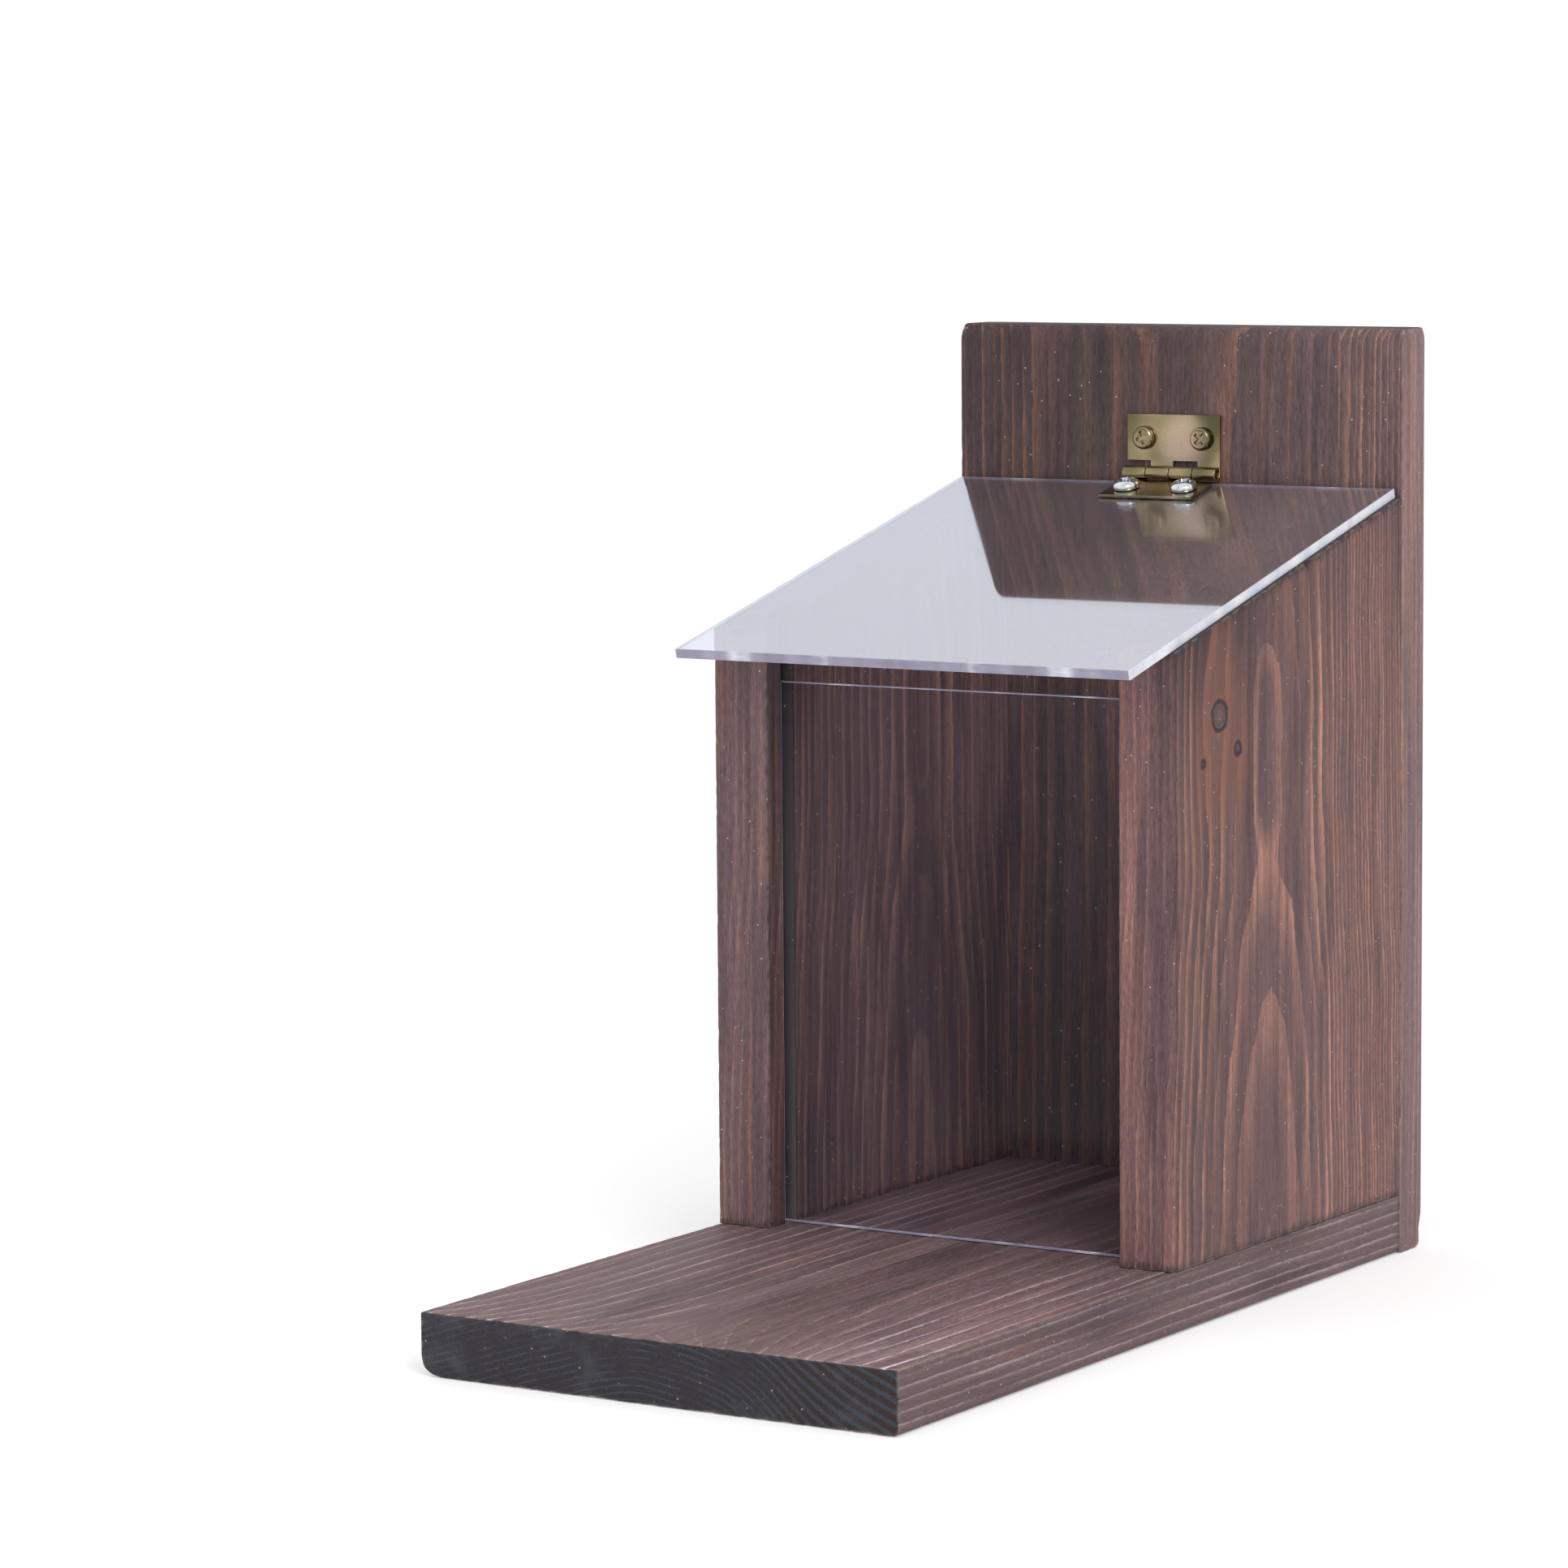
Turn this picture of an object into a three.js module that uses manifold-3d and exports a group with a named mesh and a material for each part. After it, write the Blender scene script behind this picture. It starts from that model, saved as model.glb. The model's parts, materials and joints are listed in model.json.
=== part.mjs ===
// Squirrel feeder of stained boards with a clear front pane and a clear hinged lid.
// Millimetres, +Z up. The front faces -Y, and the origin is under the middle of the whole feeder.
import * as THREE from "three";
import { mergeVertices } from "three/addons/utils/BufferGeometryUtils.js";
import Module from "manifold-3d";

const wasm = await Module();
wasm.setup();

// Boards
const boardThickness = 20;
const feederWidth = 170;
const trayLength = 325;
const backHeight = 310;
const sideDepth = 158;
const sideRearHeight = 234.5;
const sideFrontHeight = 194.5;

// Worn and planed board edges, each as a reach along two directions
const boardEase = 0.8;
const baseLeftRound = 8.5;
const baseLeftRoundHeight = 5.5;
const baseRightRound = 2.5;
const backFootRound = 9.5;
const backFootRoundHeight = 13;
const backTopFrontRound = 2.5;
const backTopFrontRoundHeight = 6.5;
const backTopRearRound = 3;
const backRearSideRound = 4.5;
const sideFrontRound = 2.5;

// Clear panes and the grooves that hold the upright one
const paneThickness = 3;
const lidWidth = 166.5;
const lidLength = 186.5;
const lidRearGap = 3;
const windowHeight = 178;
const windowSideClearance = 0.6;
const grooveSetback = 9;
const grooveWidth = 7.5;
const grooveDepth = 5;

// Butt hinge, of two like leaves
const hingeLength = 35.5;
const hingeShift = -0.65;
const leafReach = 20;
const leafThickness = 1;
const barrelRadius = 2.5;
const notchReach = 4.2;
const knuckleCount = 4;
const knuckleGap = 0.3;
const pinRadius = 1.1;
const pinRecess = 1;
const leafHoleReach = 12;
const leafHoleSpacing = 22;

// Pan head screws of the wall leaf
const wallScrewRadius = 2;
const wallScrewLength = 16;
const wallScrewHeadRadius = 4;
const wallScrewHeadHeight = 2.6;

// Pan head bolts and nuts of the lid leaf
const boltRadius = 2.5;
const boltLength = 11;
const boltHeadRadius = 4.6;
const boltHeadHeight = 3;
const nutAcrossFlats = 8;
const nutHeight = 4;

// Countersunk screws that join the boards
const boardScrewRadius = 2;
const boardScrewLength = 38;
const boardScrewHeadRadius = 4;
const boardScrewRecess = 1;
const baseScrewInset = 30;
const backScrewInset = 45;
const trayScrewSpacing = 70;
const trayScrewHeight = 12;

// Keyhole plate let into the rear face
const hangerWidth = 20;
const hangerHeight = 46;
const hangerThickness = 1.5;
const hangerCornerRadius = 4;
const hangerMiddleDrop = 40;
const keyholeRadius = 5;
const keyholeDrop = 5;
const keyholeSlotRadius = 2.5;
const keyholeSlotLength = 13;
const hangerPocketMargin = 2;
const hangerPocketDepth = 9;
const hangerScrewRadius = 1.5;
const hangerScrewLength = 13;
const hangerScrewHeadRadius = 3;
const hangerScrewSpacing = 36;
const hangerScrewRecess = 0.1;

// Cross recess, as shares of the head that carries it
const recessSpanShare = 1.1;
const recessArmShare = 0.26;
const recessDepthShare = 0.45;

// Shapes common to the screws
const screwTipLength = 4;
const headRimShare = 0.35;
const countersinkRim = 0.3;

// Gaps and cutters
const seatGap = 0.3;
const drillClearance = 0.3;
const cutOverrun = 2;

// Facets
const edgeSteps = 5;
const headFacets = 24;
const drillFacets = 16;
const barrelFacets = 20;
const domeSteps = 4;

// Places that follow from the sizes, in a frame whose Y is 0 on the back board's front face
const halfWidth = feederWidth / 2;
const innerHalfWidth = halfWidth - boardThickness;
const sideMiddle = halfWidth - boardThickness / 2;
const roofAngle = Math.atan2(sideRearHeight - sideFrontHeight, sideDepth);
const paneRearY = grooveSetback + grooveWidth - seatGap - sideDepth;
const axisFromSeat = barrelRadius + seatGap;
const hingeY = -axisFromSeat;
const sideTopAtHinge = boardThickness + sideRearHeight + hingeY * Math.tan(roofAngle);
const hingeZ = sideTopAtHinge + (seatGap + paneThickness + axisFromSeat) / Math.cos(roofAngle);
const hangerMiddleZ = backHeight - hangerMiddleDrop;
const keyholeZ = hangerMiddleZ - keyholeDrop;

const sides = [
  { name: "left", sign: -1 },
  { name: "right", sign: 1 },
];

// Materials
const stainedPine = new THREE.MeshStandardMaterial({ color: 0x6b4d45, roughness: 0.75, metalness: 0 });
const clearAcrylic = new THREE.MeshStandardMaterial({
  color: 0xe4e9f2, roughness: 0.05, metalness: 0, transparent: true, opacity: 0.3,
});
const yellowZinc = new THREE.MeshStandardMaterial({ color: 0xa59a6a, roughness: 0.35, metalness: 1 });
const brightZinc = new THREE.MeshStandardMaterial({ color: 0xc9ccd1, roughness: 0.25, metalness: 1 });

// Directions in which a flat section is drawn out: its own x, its own y and the way it grows
const alongX = new THREE.Matrix4().makeBasis(
  new THREE.Vector3(0, 1, 0), new THREE.Vector3(0, 0, 1), new THREE.Vector3(1, 0, 0));
const towardsFront = new THREE.Matrix4().makeBasis(
  new THREE.Vector3(1, 0, 0), new THREE.Vector3(0, 0, 1), new THREE.Vector3(0, -1, 0));
const towardsRear = new THREE.Matrix4().makeBasis(
  new THREE.Vector3(-1, 0, 0), new THREE.Vector3(0, 0, 1), new THREE.Vector3(0, 1, 0));
const upwards = new THREE.Matrix4();

// A closed geometry as a solid that can be joined and cut
function solidOf(geometry) {
  const bare = geometry.clone();
  bare.deleteAttribute("normal");
  bare.deleteAttribute("uv");
  const merged = mergeVertices(bare);
  const corners = merged.index.array;
  const triangles = [];
  for (let i = 0; i < corners.length; i += 3) {
    const [a, b, c] = corners.slice(i, i + 3);
    if (a !== b && b !== c && c !== a) {
      triangles.push(a, b, c);
    }
  }
  return new wasm.Manifold(new wasm.Mesh({
    numProp: 3,
    vertProperties: Float32Array.from(merged.attributes.position.array),
    triVerts: Uint32Array.from(triangles),
  }));
}

function geometryOf(solid) {
  const mesh = solid.getMesh();
  const geometry = new THREE.BufferGeometry();
  geometry.setAttribute("position", new THREE.BufferAttribute(mesh.vertProperties, 3));
  geometry.setIndex(new THREE.BufferAttribute(mesh.triVerts, 1));
  geometry.computeVertexNormals();
  return geometry;
}

function cutFrom(solid, cutters) {
  return cutters.reduce((rest, cutter) => rest.subtract(cutter), solid);
}

function drawnOut(shape, length, direction) {
  const geometry = new THREE.ExtrudeGeometry(shape, {
    depth: length, bevelEnabled: false, curveSegments: edgeSteps,
  });
  return geometry.applyMatrix4(direction);
}

function boxBetween(low, high) {
  const size = high.clone().sub(low);
  const middle = low.clone().add(high).divideScalar(2);
  return new THREE.BoxGeometry(size.x, size.y, size.z).translate(middle.x, middle.y, middle.z);
}

// A rod along the local Z from low to high
function rod(radius, low, high, facets) {
  const geometry = new THREE.CylinderGeometry(radius, radius, high - low, facets);
  return geometry.rotateX(Math.PI / 2).translate(0, 0, (low + high) / 2);
}

// A round body along the local Z from a profile of radius and height pairs that ends on the axis
function turned(profile, facets) {
  const points = profile.map(([radius, height]) => new THREE.Vector2(radius, height));
  return new THREE.LatheGeometry(points, facets).rotateX(Math.PI / 2);
}

// A rectangle from its own zero, with each corner a quarter ellipse that reaches across and up
function boardSection(width, height, corners) {
  const [nearLow, farLow, farHigh, nearHigh] = corners;
  const shape = new THREE.Shape();
  shape.moveTo(nearLow[0], 0);
  shape.lineTo(width - farLow[0], 0);
  shape.absellipse(width - farLow[0], farLow[1], farLow[0], farLow[1], -Math.PI / 2, 0, false);
  shape.lineTo(width, height - farHigh[1]);
  shape.absellipse(width - farHigh[0], height - farHigh[1], farHigh[0], farHigh[1], 0, Math.PI / 2, false);
  shape.lineTo(nearHigh[0], height);
  shape.absellipse(nearHigh[0], height - nearHigh[1], nearHigh[0], nearHigh[1], Math.PI / 2, Math.PI, false);
  shape.lineTo(0, nearLow[1]);
  shape.absellipse(nearLow[0], nearLow[1], nearLow[0], nearLow[1], Math.PI, Math.PI * 1.5, false);
  return shape;
}

// Screws lie along the local Z with the shank pointing down, and a place turns them
function placeOf(name, x, y, z, turn) {
  const spot = new THREE.Object3D();
  spot.name = name;
  spot.position.set(x, y, z);
  spot.rotation.x = turn;
  spot.updateMatrix();
  return spot;
}

const shankUp = Math.PI;
const shankForward = -Math.PI / 2;
const shankRearward = Math.PI / 2;

function crossRecess(headRadius, topHeight) {
  const span = headRadius * recessSpanShare;
  const arm = headRadius * recessArmShare;
  const depth = headRadius * recessDepthShare;
  const high = topHeight + cutOverrun;
  const low = topHeight - depth;
  const lengthwise = boxBetween(
    new THREE.Vector3(-span / 2, -arm / 2, low), new THREE.Vector3(span / 2, arm / 2, high));
  const crosswise = boxBetween(
    new THREE.Vector3(-arm / 2, -span / 2, low), new THREE.Vector3(arm / 2, span / 2, high));
  return solidOf(lengthwise).add(solidOf(crosswise));
}

// Countersunk screw whose head is flat at the local zero
function countersunkScrew(radius, length, headRadius) {
  const coneEnd = -countersinkRim - (headRadius - radius);
  const body = turned([
    [0, -length],
    [radius, screwTipLength - length],
    [radius, coneEnd],
    [headRadius, -countersinkRim],
    [headRadius, 0],
    [0, 0],
  ], headFacets);
  return solidOf(body).subtract(crossRecess(headRadius, 0));
}

// The hole for that screw, with the head sunk below the surface that lies at the local zero
function countersunkHole(radius, length, headRadius, recess) {
  const wide = headRadius + drillClearance;
  const narrow = radius + drillClearance;
  const seat = -recess - countersinkRim - drillClearance;
  return solidOf(turned([
    [0, -recess - length - drillClearance],
    [narrow, -recess - length - drillClearance],
    [narrow, seat - (wide - narrow)],
    [wide, seat],
    [wide, cutOverrun],
    [0, cutOverrun],
  ], drillFacets));
}

// Pan head screw or bolt whose head stands on the local zero
function panHeadScrew(radius, length, headRadius, headHeight, tipLength) {
  const rim = headHeight * headRimShare;
  const profile = [[0, -length], [radius, tipLength - length], [radius, 0], [headRadius, 0]];
  for (let step = 0; step < domeSteps; step += 1) {
    const angle = (step / domeSteps) * (Math.PI / 2);
    profile.push([headRadius * Math.cos(angle), rim + (headHeight - rim) * Math.sin(angle)]);
  }
  profile.push([0, headHeight]);
  return solidOf(turned(profile, headFacets)).subtract(crossRecess(headRadius, headHeight));
}

// Where the boards are screwed together
const baseScrews = sides.flatMap(({ sign, name }) => [
  placeOf(`base_screw_${name}_front`, sign * sideMiddle, baseScrewInset - sideDepth, 0, shankUp),
  placeOf(`base_screw_${name}_rear`, sign * sideMiddle, -baseScrewInset, 0, shankUp),
]);
const backScrews = sides.flatMap(({ sign, name }) => [
  placeOf(`back_screw_${name}_lower`, sign * sideMiddle, boardThickness,
    boardThickness + backScrewInset, shankForward),
  placeOf(`back_screw_${name}_upper`, sign * sideMiddle, boardThickness,
    boardThickness + sideRearHeight - backScrewInset, shankForward),
]);
const trayScrews = sides.map(({ sign, name }) => placeOf(
  `tray_screw_${name}`, sign * trayScrewSpacing / 2, boardThickness, trayScrewHeight, shankForward));
const boardScrews = [...baseScrews, ...backScrews, ...trayScrews];

// Where the hinge and the hanger are screwed on
const wallScrewY = hingeY + barrelRadius - leafThickness - seatGap;
const wallScrews = sides.map(({ sign, name }) => placeOf(
  `wall_screw_${name}`, hingeShift + sign * leafHoleSpacing / 2, wallScrewY,
  hingeZ + leafHoleReach, shankRearward));
const hangerScrews = [
  placeOf("hanger_screw_lower", 0, boardThickness, hangerMiddleZ - hangerScrewSpacing / 2, shankForward),
  placeOf("hanger_screw_upper", 0, boardThickness, hangerMiddleZ + hangerScrewSpacing / 2, shankForward),
];

function boardScrewHoles() {
  return boardScrews.map((spot) => {
    const hole = countersunkHole(boardScrewRadius, boardScrewLength, boardScrewHeadRadius, boardScrewRecess);
    return hole.transform(spot.matrix.elements);
  });
}

function baseBoard() {
  const section = boardSection(feederWidth, boardThickness, [
    [baseLeftRound, baseLeftRoundHeight],
    [baseRightRound, baseRightRound],
    [boardEase, boardEase],
    [boardEase, boardEase],
  ]);
  const board = drawnOut(section, trayLength, towardsFront).translate(-halfWidth, 0, 0);
  return cutFrom(solidOf(board), boardScrewHoles());
}

function hangerOutline(margin) {
  const halfAcross = hangerWidth / 2 + margin;
  const halfUp = hangerHeight / 2 + margin;
  const corner = hangerCornerRadius + margin;
  const shape = new THREE.Shape();
  shape.moveTo(corner - halfAcross, -halfUp);
  shape.absarc(halfAcross - corner, corner - halfUp, corner, -Math.PI / 2, 0, false);
  shape.absarc(halfAcross - corner, halfUp - corner, corner, 0, Math.PI / 2, false);
  shape.absarc(corner - halfAcross, halfUp - corner, corner, Math.PI / 2, Math.PI, false);
  shape.absarc(corner - halfAcross, corner - halfUp, corner, Math.PI, Math.PI * 1.5, false);
  return shape;
}

// The round entry and the narrow slot above it, about the middle of the entry
function keyholePath() {
  const meet = Math.acos(keyholeSlotRadius / keyholeRadius);
  const path = new THREE.Path();
  path.moveTo(keyholeSlotRadius, keyholeRadius * Math.sin(meet));
  path.absarc(0, keyholeSlotLength, keyholeSlotRadius, 0, Math.PI, false);
  path.absarc(0, 0, keyholeRadius, Math.PI - meet, Math.PI * 2 + meet, false);
  return path;
}

// Shallow bed for the plate and a deeper pocket for the head of the screw it hangs on
function hangerBed() {
  const bedDepth = hangerThickness + seatGap;
  const bed = drawnOut(hangerOutline(seatGap), bedDepth + cutOverrun, towardsRear)
    .translate(0, boardThickness - bedDepth, hangerMiddleZ);
  const pocketHalf = keyholeRadius + hangerPocketMargin;
  const pocket = boxBetween(
    new THREE.Vector3(-pocketHalf, boardThickness - hangerPocketDepth, keyholeZ - pocketHalf),
    new THREE.Vector3(pocketHalf, boardThickness,
      keyholeZ + keyholeSlotLength + keyholeSlotRadius + hangerPocketMargin));
  return solidOf(bed).add(solidOf(pocket));
}

function hangerScrewHoles() {
  return hangerScrews.map((spot) => {
    const hole = countersunkHole(
      hangerScrewRadius, hangerScrewLength, hangerScrewHeadRadius, hangerScrewRecess);
    return hole.transform(spot.matrix.elements);
  });
}

function backBoard() {
  const profile = boardSection(boardThickness, backHeight, [
    [boardEase, boardEase],
    [backFootRound, backFootRoundHeight],
    [backTopRearRound, backTopRearRound],
    [backTopFrontRound, backTopFrontRoundHeight],
  ]);
  const plan = boardSection(feederWidth, boardThickness, [
    [boardEase, boardEase],
    [boardEase, boardEase],
    [backRearSideRound, backRearSideRound],
    [backRearSideRound, backRearSideRound],
  ]);
  const fromTheSide = solidOf(drawnOut(profile, feederWidth, alongX).translate(-halfWidth, 0, 0));
  const fromAbove = solidOf(drawnOut(plan, backHeight, upwards).translate(-halfWidth, 0, 0));
  const pilots = wallScrews.map((spot) => {
    const pilot = rod(wallScrewRadius + drillClearance, -wallScrewLength - drillClearance, 0, drillFacets);
    return solidOf(pilot).transform(spot.matrix.elements);
  });
  return cutFrom(fromTheSide.intersect(fromAbove), [
    ...boardScrewHoles(), ...hangerScrewHoles(), ...pilots, hangerBed(),
  ]);
}

function sidePanel(sign) {
  const profile = new THREE.Shape([
    new THREE.Vector2(0, 0),
    new THREE.Vector2(0, sideRearHeight),
    new THREE.Vector2(-sideDepth, sideFrontHeight),
    new THREE.Vector2(-sideDepth, 0),
  ]);
  const leftFront = sign < 0 ? sideFrontRound : boardEase;
  const rightFront = sign < 0 ? boardEase : sideFrontRound;
  const plan = boardSection(boardThickness, sideDepth, [
    [leftFront, leftFront],
    [rightFront, rightFront],
    [boardEase, boardEase],
    [boardEase, boardEase],
  ]);
  const lowX = sign * sideMiddle - boardThickness / 2;
  const fromTheSide = drawnOut(profile, boardThickness, alongX).translate(lowX, 0, boardThickness);
  const fromAbove = drawnOut(plan, sideRearHeight, upwards).translate(lowX, -sideDepth, boardThickness);
  const groove = boxBetween(
    new THREE.Vector3(-innerHalfWidth - grooveDepth, grooveSetback - sideDepth, boardThickness - cutOverrun),
    new THREE.Vector3(innerHalfWidth + grooveDepth, grooveSetback + grooveWidth - sideDepth,
      boardThickness + sideRearHeight + cutOverrun));
  return cutFrom(solidOf(fromTheSide).intersect(solidOf(fromAbove)), [
    solidOf(groove), ...boardScrewHoles(),
  ]);
}

function frontWindow() {
  const half = innerHalfWidth + grooveDepth - windowSideClearance;
  const foot = boardThickness + seatGap;
  return solidOf(boxBetween(
    new THREE.Vector3(-half, paneRearY - paneThickness, foot),
    new THREE.Vector3(half, paneRearY, foot + windowHeight)));
}

// One leaf about the hinge axis: its plate stands up, its back faces +Y, and it owns every other knuckle
function hingeLeaf() {
  const pitch = (hingeLength + knuckleGap) / knuckleCount;
  const half = hingeLength / 2;
  const boreRadius = pinRadius + drillClearance;
  let leaf = solidOf(boxBetween(
    new THREE.Vector3(-half, barrelRadius - leafThickness, 0),
    new THREE.Vector3(half, barrelRadius, leafReach)));
  for (let index = 0; index < knuckleCount; index += 1) {
    const low = pitch * index - half;
    const high = low + pitch - knuckleGap;
    if (index % 2 === 1) {
      const knuckle = rod(barrelRadius, low, high, barrelFacets).rotateY(Math.PI / 2);
      leaf = leaf.add(solidOf(knuckle));
    } else {
      leaf = leaf.subtract(solidOf(boxBetween(
        new THREE.Vector3(low - knuckleGap, -barrelRadius, -barrelRadius),
        new THREE.Vector3(high + knuckleGap, barrelRadius + cutOverrun, notchReach))));
    }
  }
  const bore = rod(boreRadius, -half - cutOverrun, half + cutOverrun, drillFacets).rotateY(Math.PI / 2);
  const holes = sides.map(({ sign }) => {
    const hole = rod(boltRadius + drillClearance, -barrelRadius, barrelRadius + cutOverrun, drillFacets);
    return solidOf(hole.rotateX(Math.PI / 2).translate(sign * leafHoleSpacing / 2, 0, leafHoleReach));
  });
  return cutFrom(leaf, [solidOf(bore), ...holes]);
}

function hingePin() {
  const half = hingeLength / 2 - pinRecess;
  return solidOf(rod(pinRadius, -half, half, drillFacets).rotateY(Math.PI / 2));
}

// The lid about the hinge axis, with its top a seat below the axis and its length towards -Y
function lidPanel() {
  const top = -axisFromSeat;
  const rearReach = axisFromSeat - lidRearGap - axisFromSeat * Math.sin(roofAngle);
  const rear = rearReach / Math.cos(roofAngle);
  const pane = solidOf(boxBetween(
    new THREE.Vector3(-lidWidth / 2, rear - lidLength, top - paneThickness),
    new THREE.Vector3(lidWidth / 2, rear, top)));
  const holes = lidBoltPlaces().map((spot) => {
    const low = top - paneThickness - cutOverrun;
    const hole = rod(boltRadius + drillClearance, low, top + cutOverrun, drillFacets);
    return solidOf(hole.translate(spot.x, spot.y, 0));
  });
  return cutFrom(pane, holes);
}

function lidBoltPlaces() {
  const headSeat = leafThickness + seatGap - barrelRadius;
  return sides.map(({ sign }) => new THREE.Vector3(
    hingeShift + sign * leafHoleSpacing / 2, -leafHoleReach, headSeat));
}

// A six-sided nut whose top lies at the local zero
function nut() {
  const cornerRadius = nutAcrossFlats / 2 / Math.cos(Math.PI / 6);
  const body = solidOf(rod(cornerRadius, -nutHeight, 0, 6));
  const bore = rod(boltRadius + drillClearance, -nutHeight - cutOverrun, cutOverrun, drillFacets);
  return body.subtract(solidOf(bore));
}

function hangerPlate() {
  const outline = hangerOutline(0);
  const plate = drawnOut(outline, hangerThickness, towardsRear)
    .translate(0, boardThickness - hangerThickness, hangerMiddleZ);
  const keyhole = new THREE.Shape(keyholePath().getPoints(edgeSteps * 2));
  const opening = drawnOut(keyhole, hangerThickness + cutOverrun * 2, towardsRear)
    .translate(0, boardThickness - hangerThickness - cutOverrun, keyholeZ);
  return cutFrom(solidOf(plate), [solidOf(opening), ...hangerScrewHoles()]);
}

function meshOf(name, solid, material) {
  const mesh = new THREE.Mesh(geometryOf(solid), material);
  mesh.name = name;
  return mesh;
}

// A screw at its place, sunk along its own axis by the given depth
function screwAt(spot, solid, material, sunk) {
  const mesh = meshOf(spot.name, solid, material);
  mesh.position.copy(spot.position);
  mesh.rotation.copy(spot.rotation);
  mesh.translateZ(-sunk);
  return mesh;
}

function body() {
  const group = new THREE.Group();
  group.add(meshOf("base_board", baseBoard(), stainedPine));
  group.add(meshOf("back_board", backBoard(), stainedPine));
  for (const { name, sign } of sides) {
    group.add(meshOf(`side_panel_${name}`, sidePanel(sign), stainedPine));
  }
  for (const spot of boardScrews) {
    const screw = countersunkScrew(boardScrewRadius, boardScrewLength, boardScrewHeadRadius);
    group.add(screwAt(spot, screw, yellowZinc, boardScrewRecess));
  }
  return group;
}

function wallHinge() {
  const group = new THREE.Group();
  const leaf = meshOf("hinge_leaf_wall", hingeLeaf(), yellowZinc);
  leaf.position.set(hingeShift, hingeY, hingeZ);
  const pin = meshOf("hinge_pin", hingePin(), yellowZinc);
  pin.position.copy(leaf.position);
  group.add(leaf, pin);
  for (const spot of wallScrews) {
    const screw = panHeadScrew(
      wallScrewRadius, wallScrewLength, wallScrewHeadRadius, wallScrewHeadHeight, screwTipLength);
    group.add(screwAt(spot, screw, yellowZinc, 0));
  }
  return group;
}

function hanger() {
  const group = new THREE.Group();
  group.add(meshOf("hanger_plate", hangerPlate(), brightZinc));
  for (const spot of hangerScrews) {
    const screw = countersunkScrew(hangerScrewRadius, hangerScrewLength, hangerScrewHeadRadius);
    group.add(screwAt(spot, screw, brightZinc, hangerScrewRecess));
  }
  return group;
}

// The lid with its own leaf, bolts and nuts, turned down to the slope of the side boards
function lid() {
  const group = new THREE.Group();
  group.position.set(0, hingeY, hingeZ);
  group.rotation.x = roofAngle;
  group.add(meshOf("lid_panel", lidPanel(), clearAcrylic));
  const leaf = meshOf("hinge_leaf_lid", hingeLeaf(), yellowZinc);
  leaf.position.x = hingeShift;
  leaf.rotation.set(Math.PI / 2, 0, Math.PI);
  group.add(leaf);
  const nutTop = -axisFromSeat - paneThickness - seatGap;
  lidBoltPlaces().forEach((spot, index) => {
    const { name } = sides[index];
    const bolt = meshOf(`lid_bolt_${name}`,
      panHeadScrew(boltRadius, boltLength, boltHeadRadius, boltHeadHeight, seatGap), brightZinc);
    bolt.position.copy(spot);
    const lidNut = meshOf(`lid_nut_${name}`, nut(), brightZinc);
    lidNut.position.set(spot.x, spot.y, nutTop);
    group.add(bolt, lidNut);
  });
  return group;
}

const assembly = new THREE.Group();
assembly.position.y = (trayLength - boardThickness) / 2;
assembly.add(body(), wallHinge(), hanger(), lid());
assembly.add(meshOf("front_window", frontWindow(), clearAcrylic));

const feeder = new THREE.Group();
feeder.add(assembly);

export default feeder;
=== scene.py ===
"""Squirrel feeder: the looks of its boards, clear panes, hinge and screws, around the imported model."""
import json
import math

import bmesh
import bpy
import numpy as np
from mathutils import Matrix, Vector, noise


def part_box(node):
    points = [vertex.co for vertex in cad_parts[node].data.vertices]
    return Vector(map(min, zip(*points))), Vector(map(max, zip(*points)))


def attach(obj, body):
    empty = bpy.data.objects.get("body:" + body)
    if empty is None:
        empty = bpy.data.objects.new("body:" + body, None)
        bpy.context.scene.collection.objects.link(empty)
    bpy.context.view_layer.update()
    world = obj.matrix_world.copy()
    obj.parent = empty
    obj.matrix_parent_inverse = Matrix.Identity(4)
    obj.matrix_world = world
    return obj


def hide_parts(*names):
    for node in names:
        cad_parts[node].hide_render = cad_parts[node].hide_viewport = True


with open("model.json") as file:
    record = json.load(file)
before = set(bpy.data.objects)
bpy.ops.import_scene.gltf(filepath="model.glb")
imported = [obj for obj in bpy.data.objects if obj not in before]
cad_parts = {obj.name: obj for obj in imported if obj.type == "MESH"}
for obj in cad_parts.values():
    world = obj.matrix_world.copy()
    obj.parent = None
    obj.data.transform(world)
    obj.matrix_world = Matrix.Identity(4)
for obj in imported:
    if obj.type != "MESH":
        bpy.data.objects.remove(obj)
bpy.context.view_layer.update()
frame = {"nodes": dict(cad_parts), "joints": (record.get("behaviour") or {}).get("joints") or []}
NODES = frame["nodes"]

# Lengths below are in millimetres, and meshes are scaled to metres as they are finished
MM = 0.001

# Boards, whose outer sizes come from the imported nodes
BOARD_EASE = 0.8
EASE = (BOARD_EASE, BOARD_EASE)
SAWN_EASE = (0.4, 0.4)
FINE_EASE = (0.25, 0.25)
BASE_LEFT_ROUND = (8.5, 5.5)
BASE_RIGHT_ROUND = (2.5, 2.5)
BACK_FOOT_ROUND = (9.5, 13)
BACK_TOP_FRONT_ROUND = (2.5, 6.5)
BACK_TOP_REAR_ROUND = (3, 3)
BACK_TOP_CORNER = (1.2, 5.5)
BACK_SIDE_ROUND = (5.4, 5.4)
SIDE_FRONT_ROUND = 2.5
SIDE_REAR_HEIGHT = 234.5
SIDE_FRONT_HEIGHT = 194.5
SIDE_DEPTH = 158
GROOVE_SETBACK = 9
GROOVE_WIDTH = 7.5
GROOVE_DEPTH = 5
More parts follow.
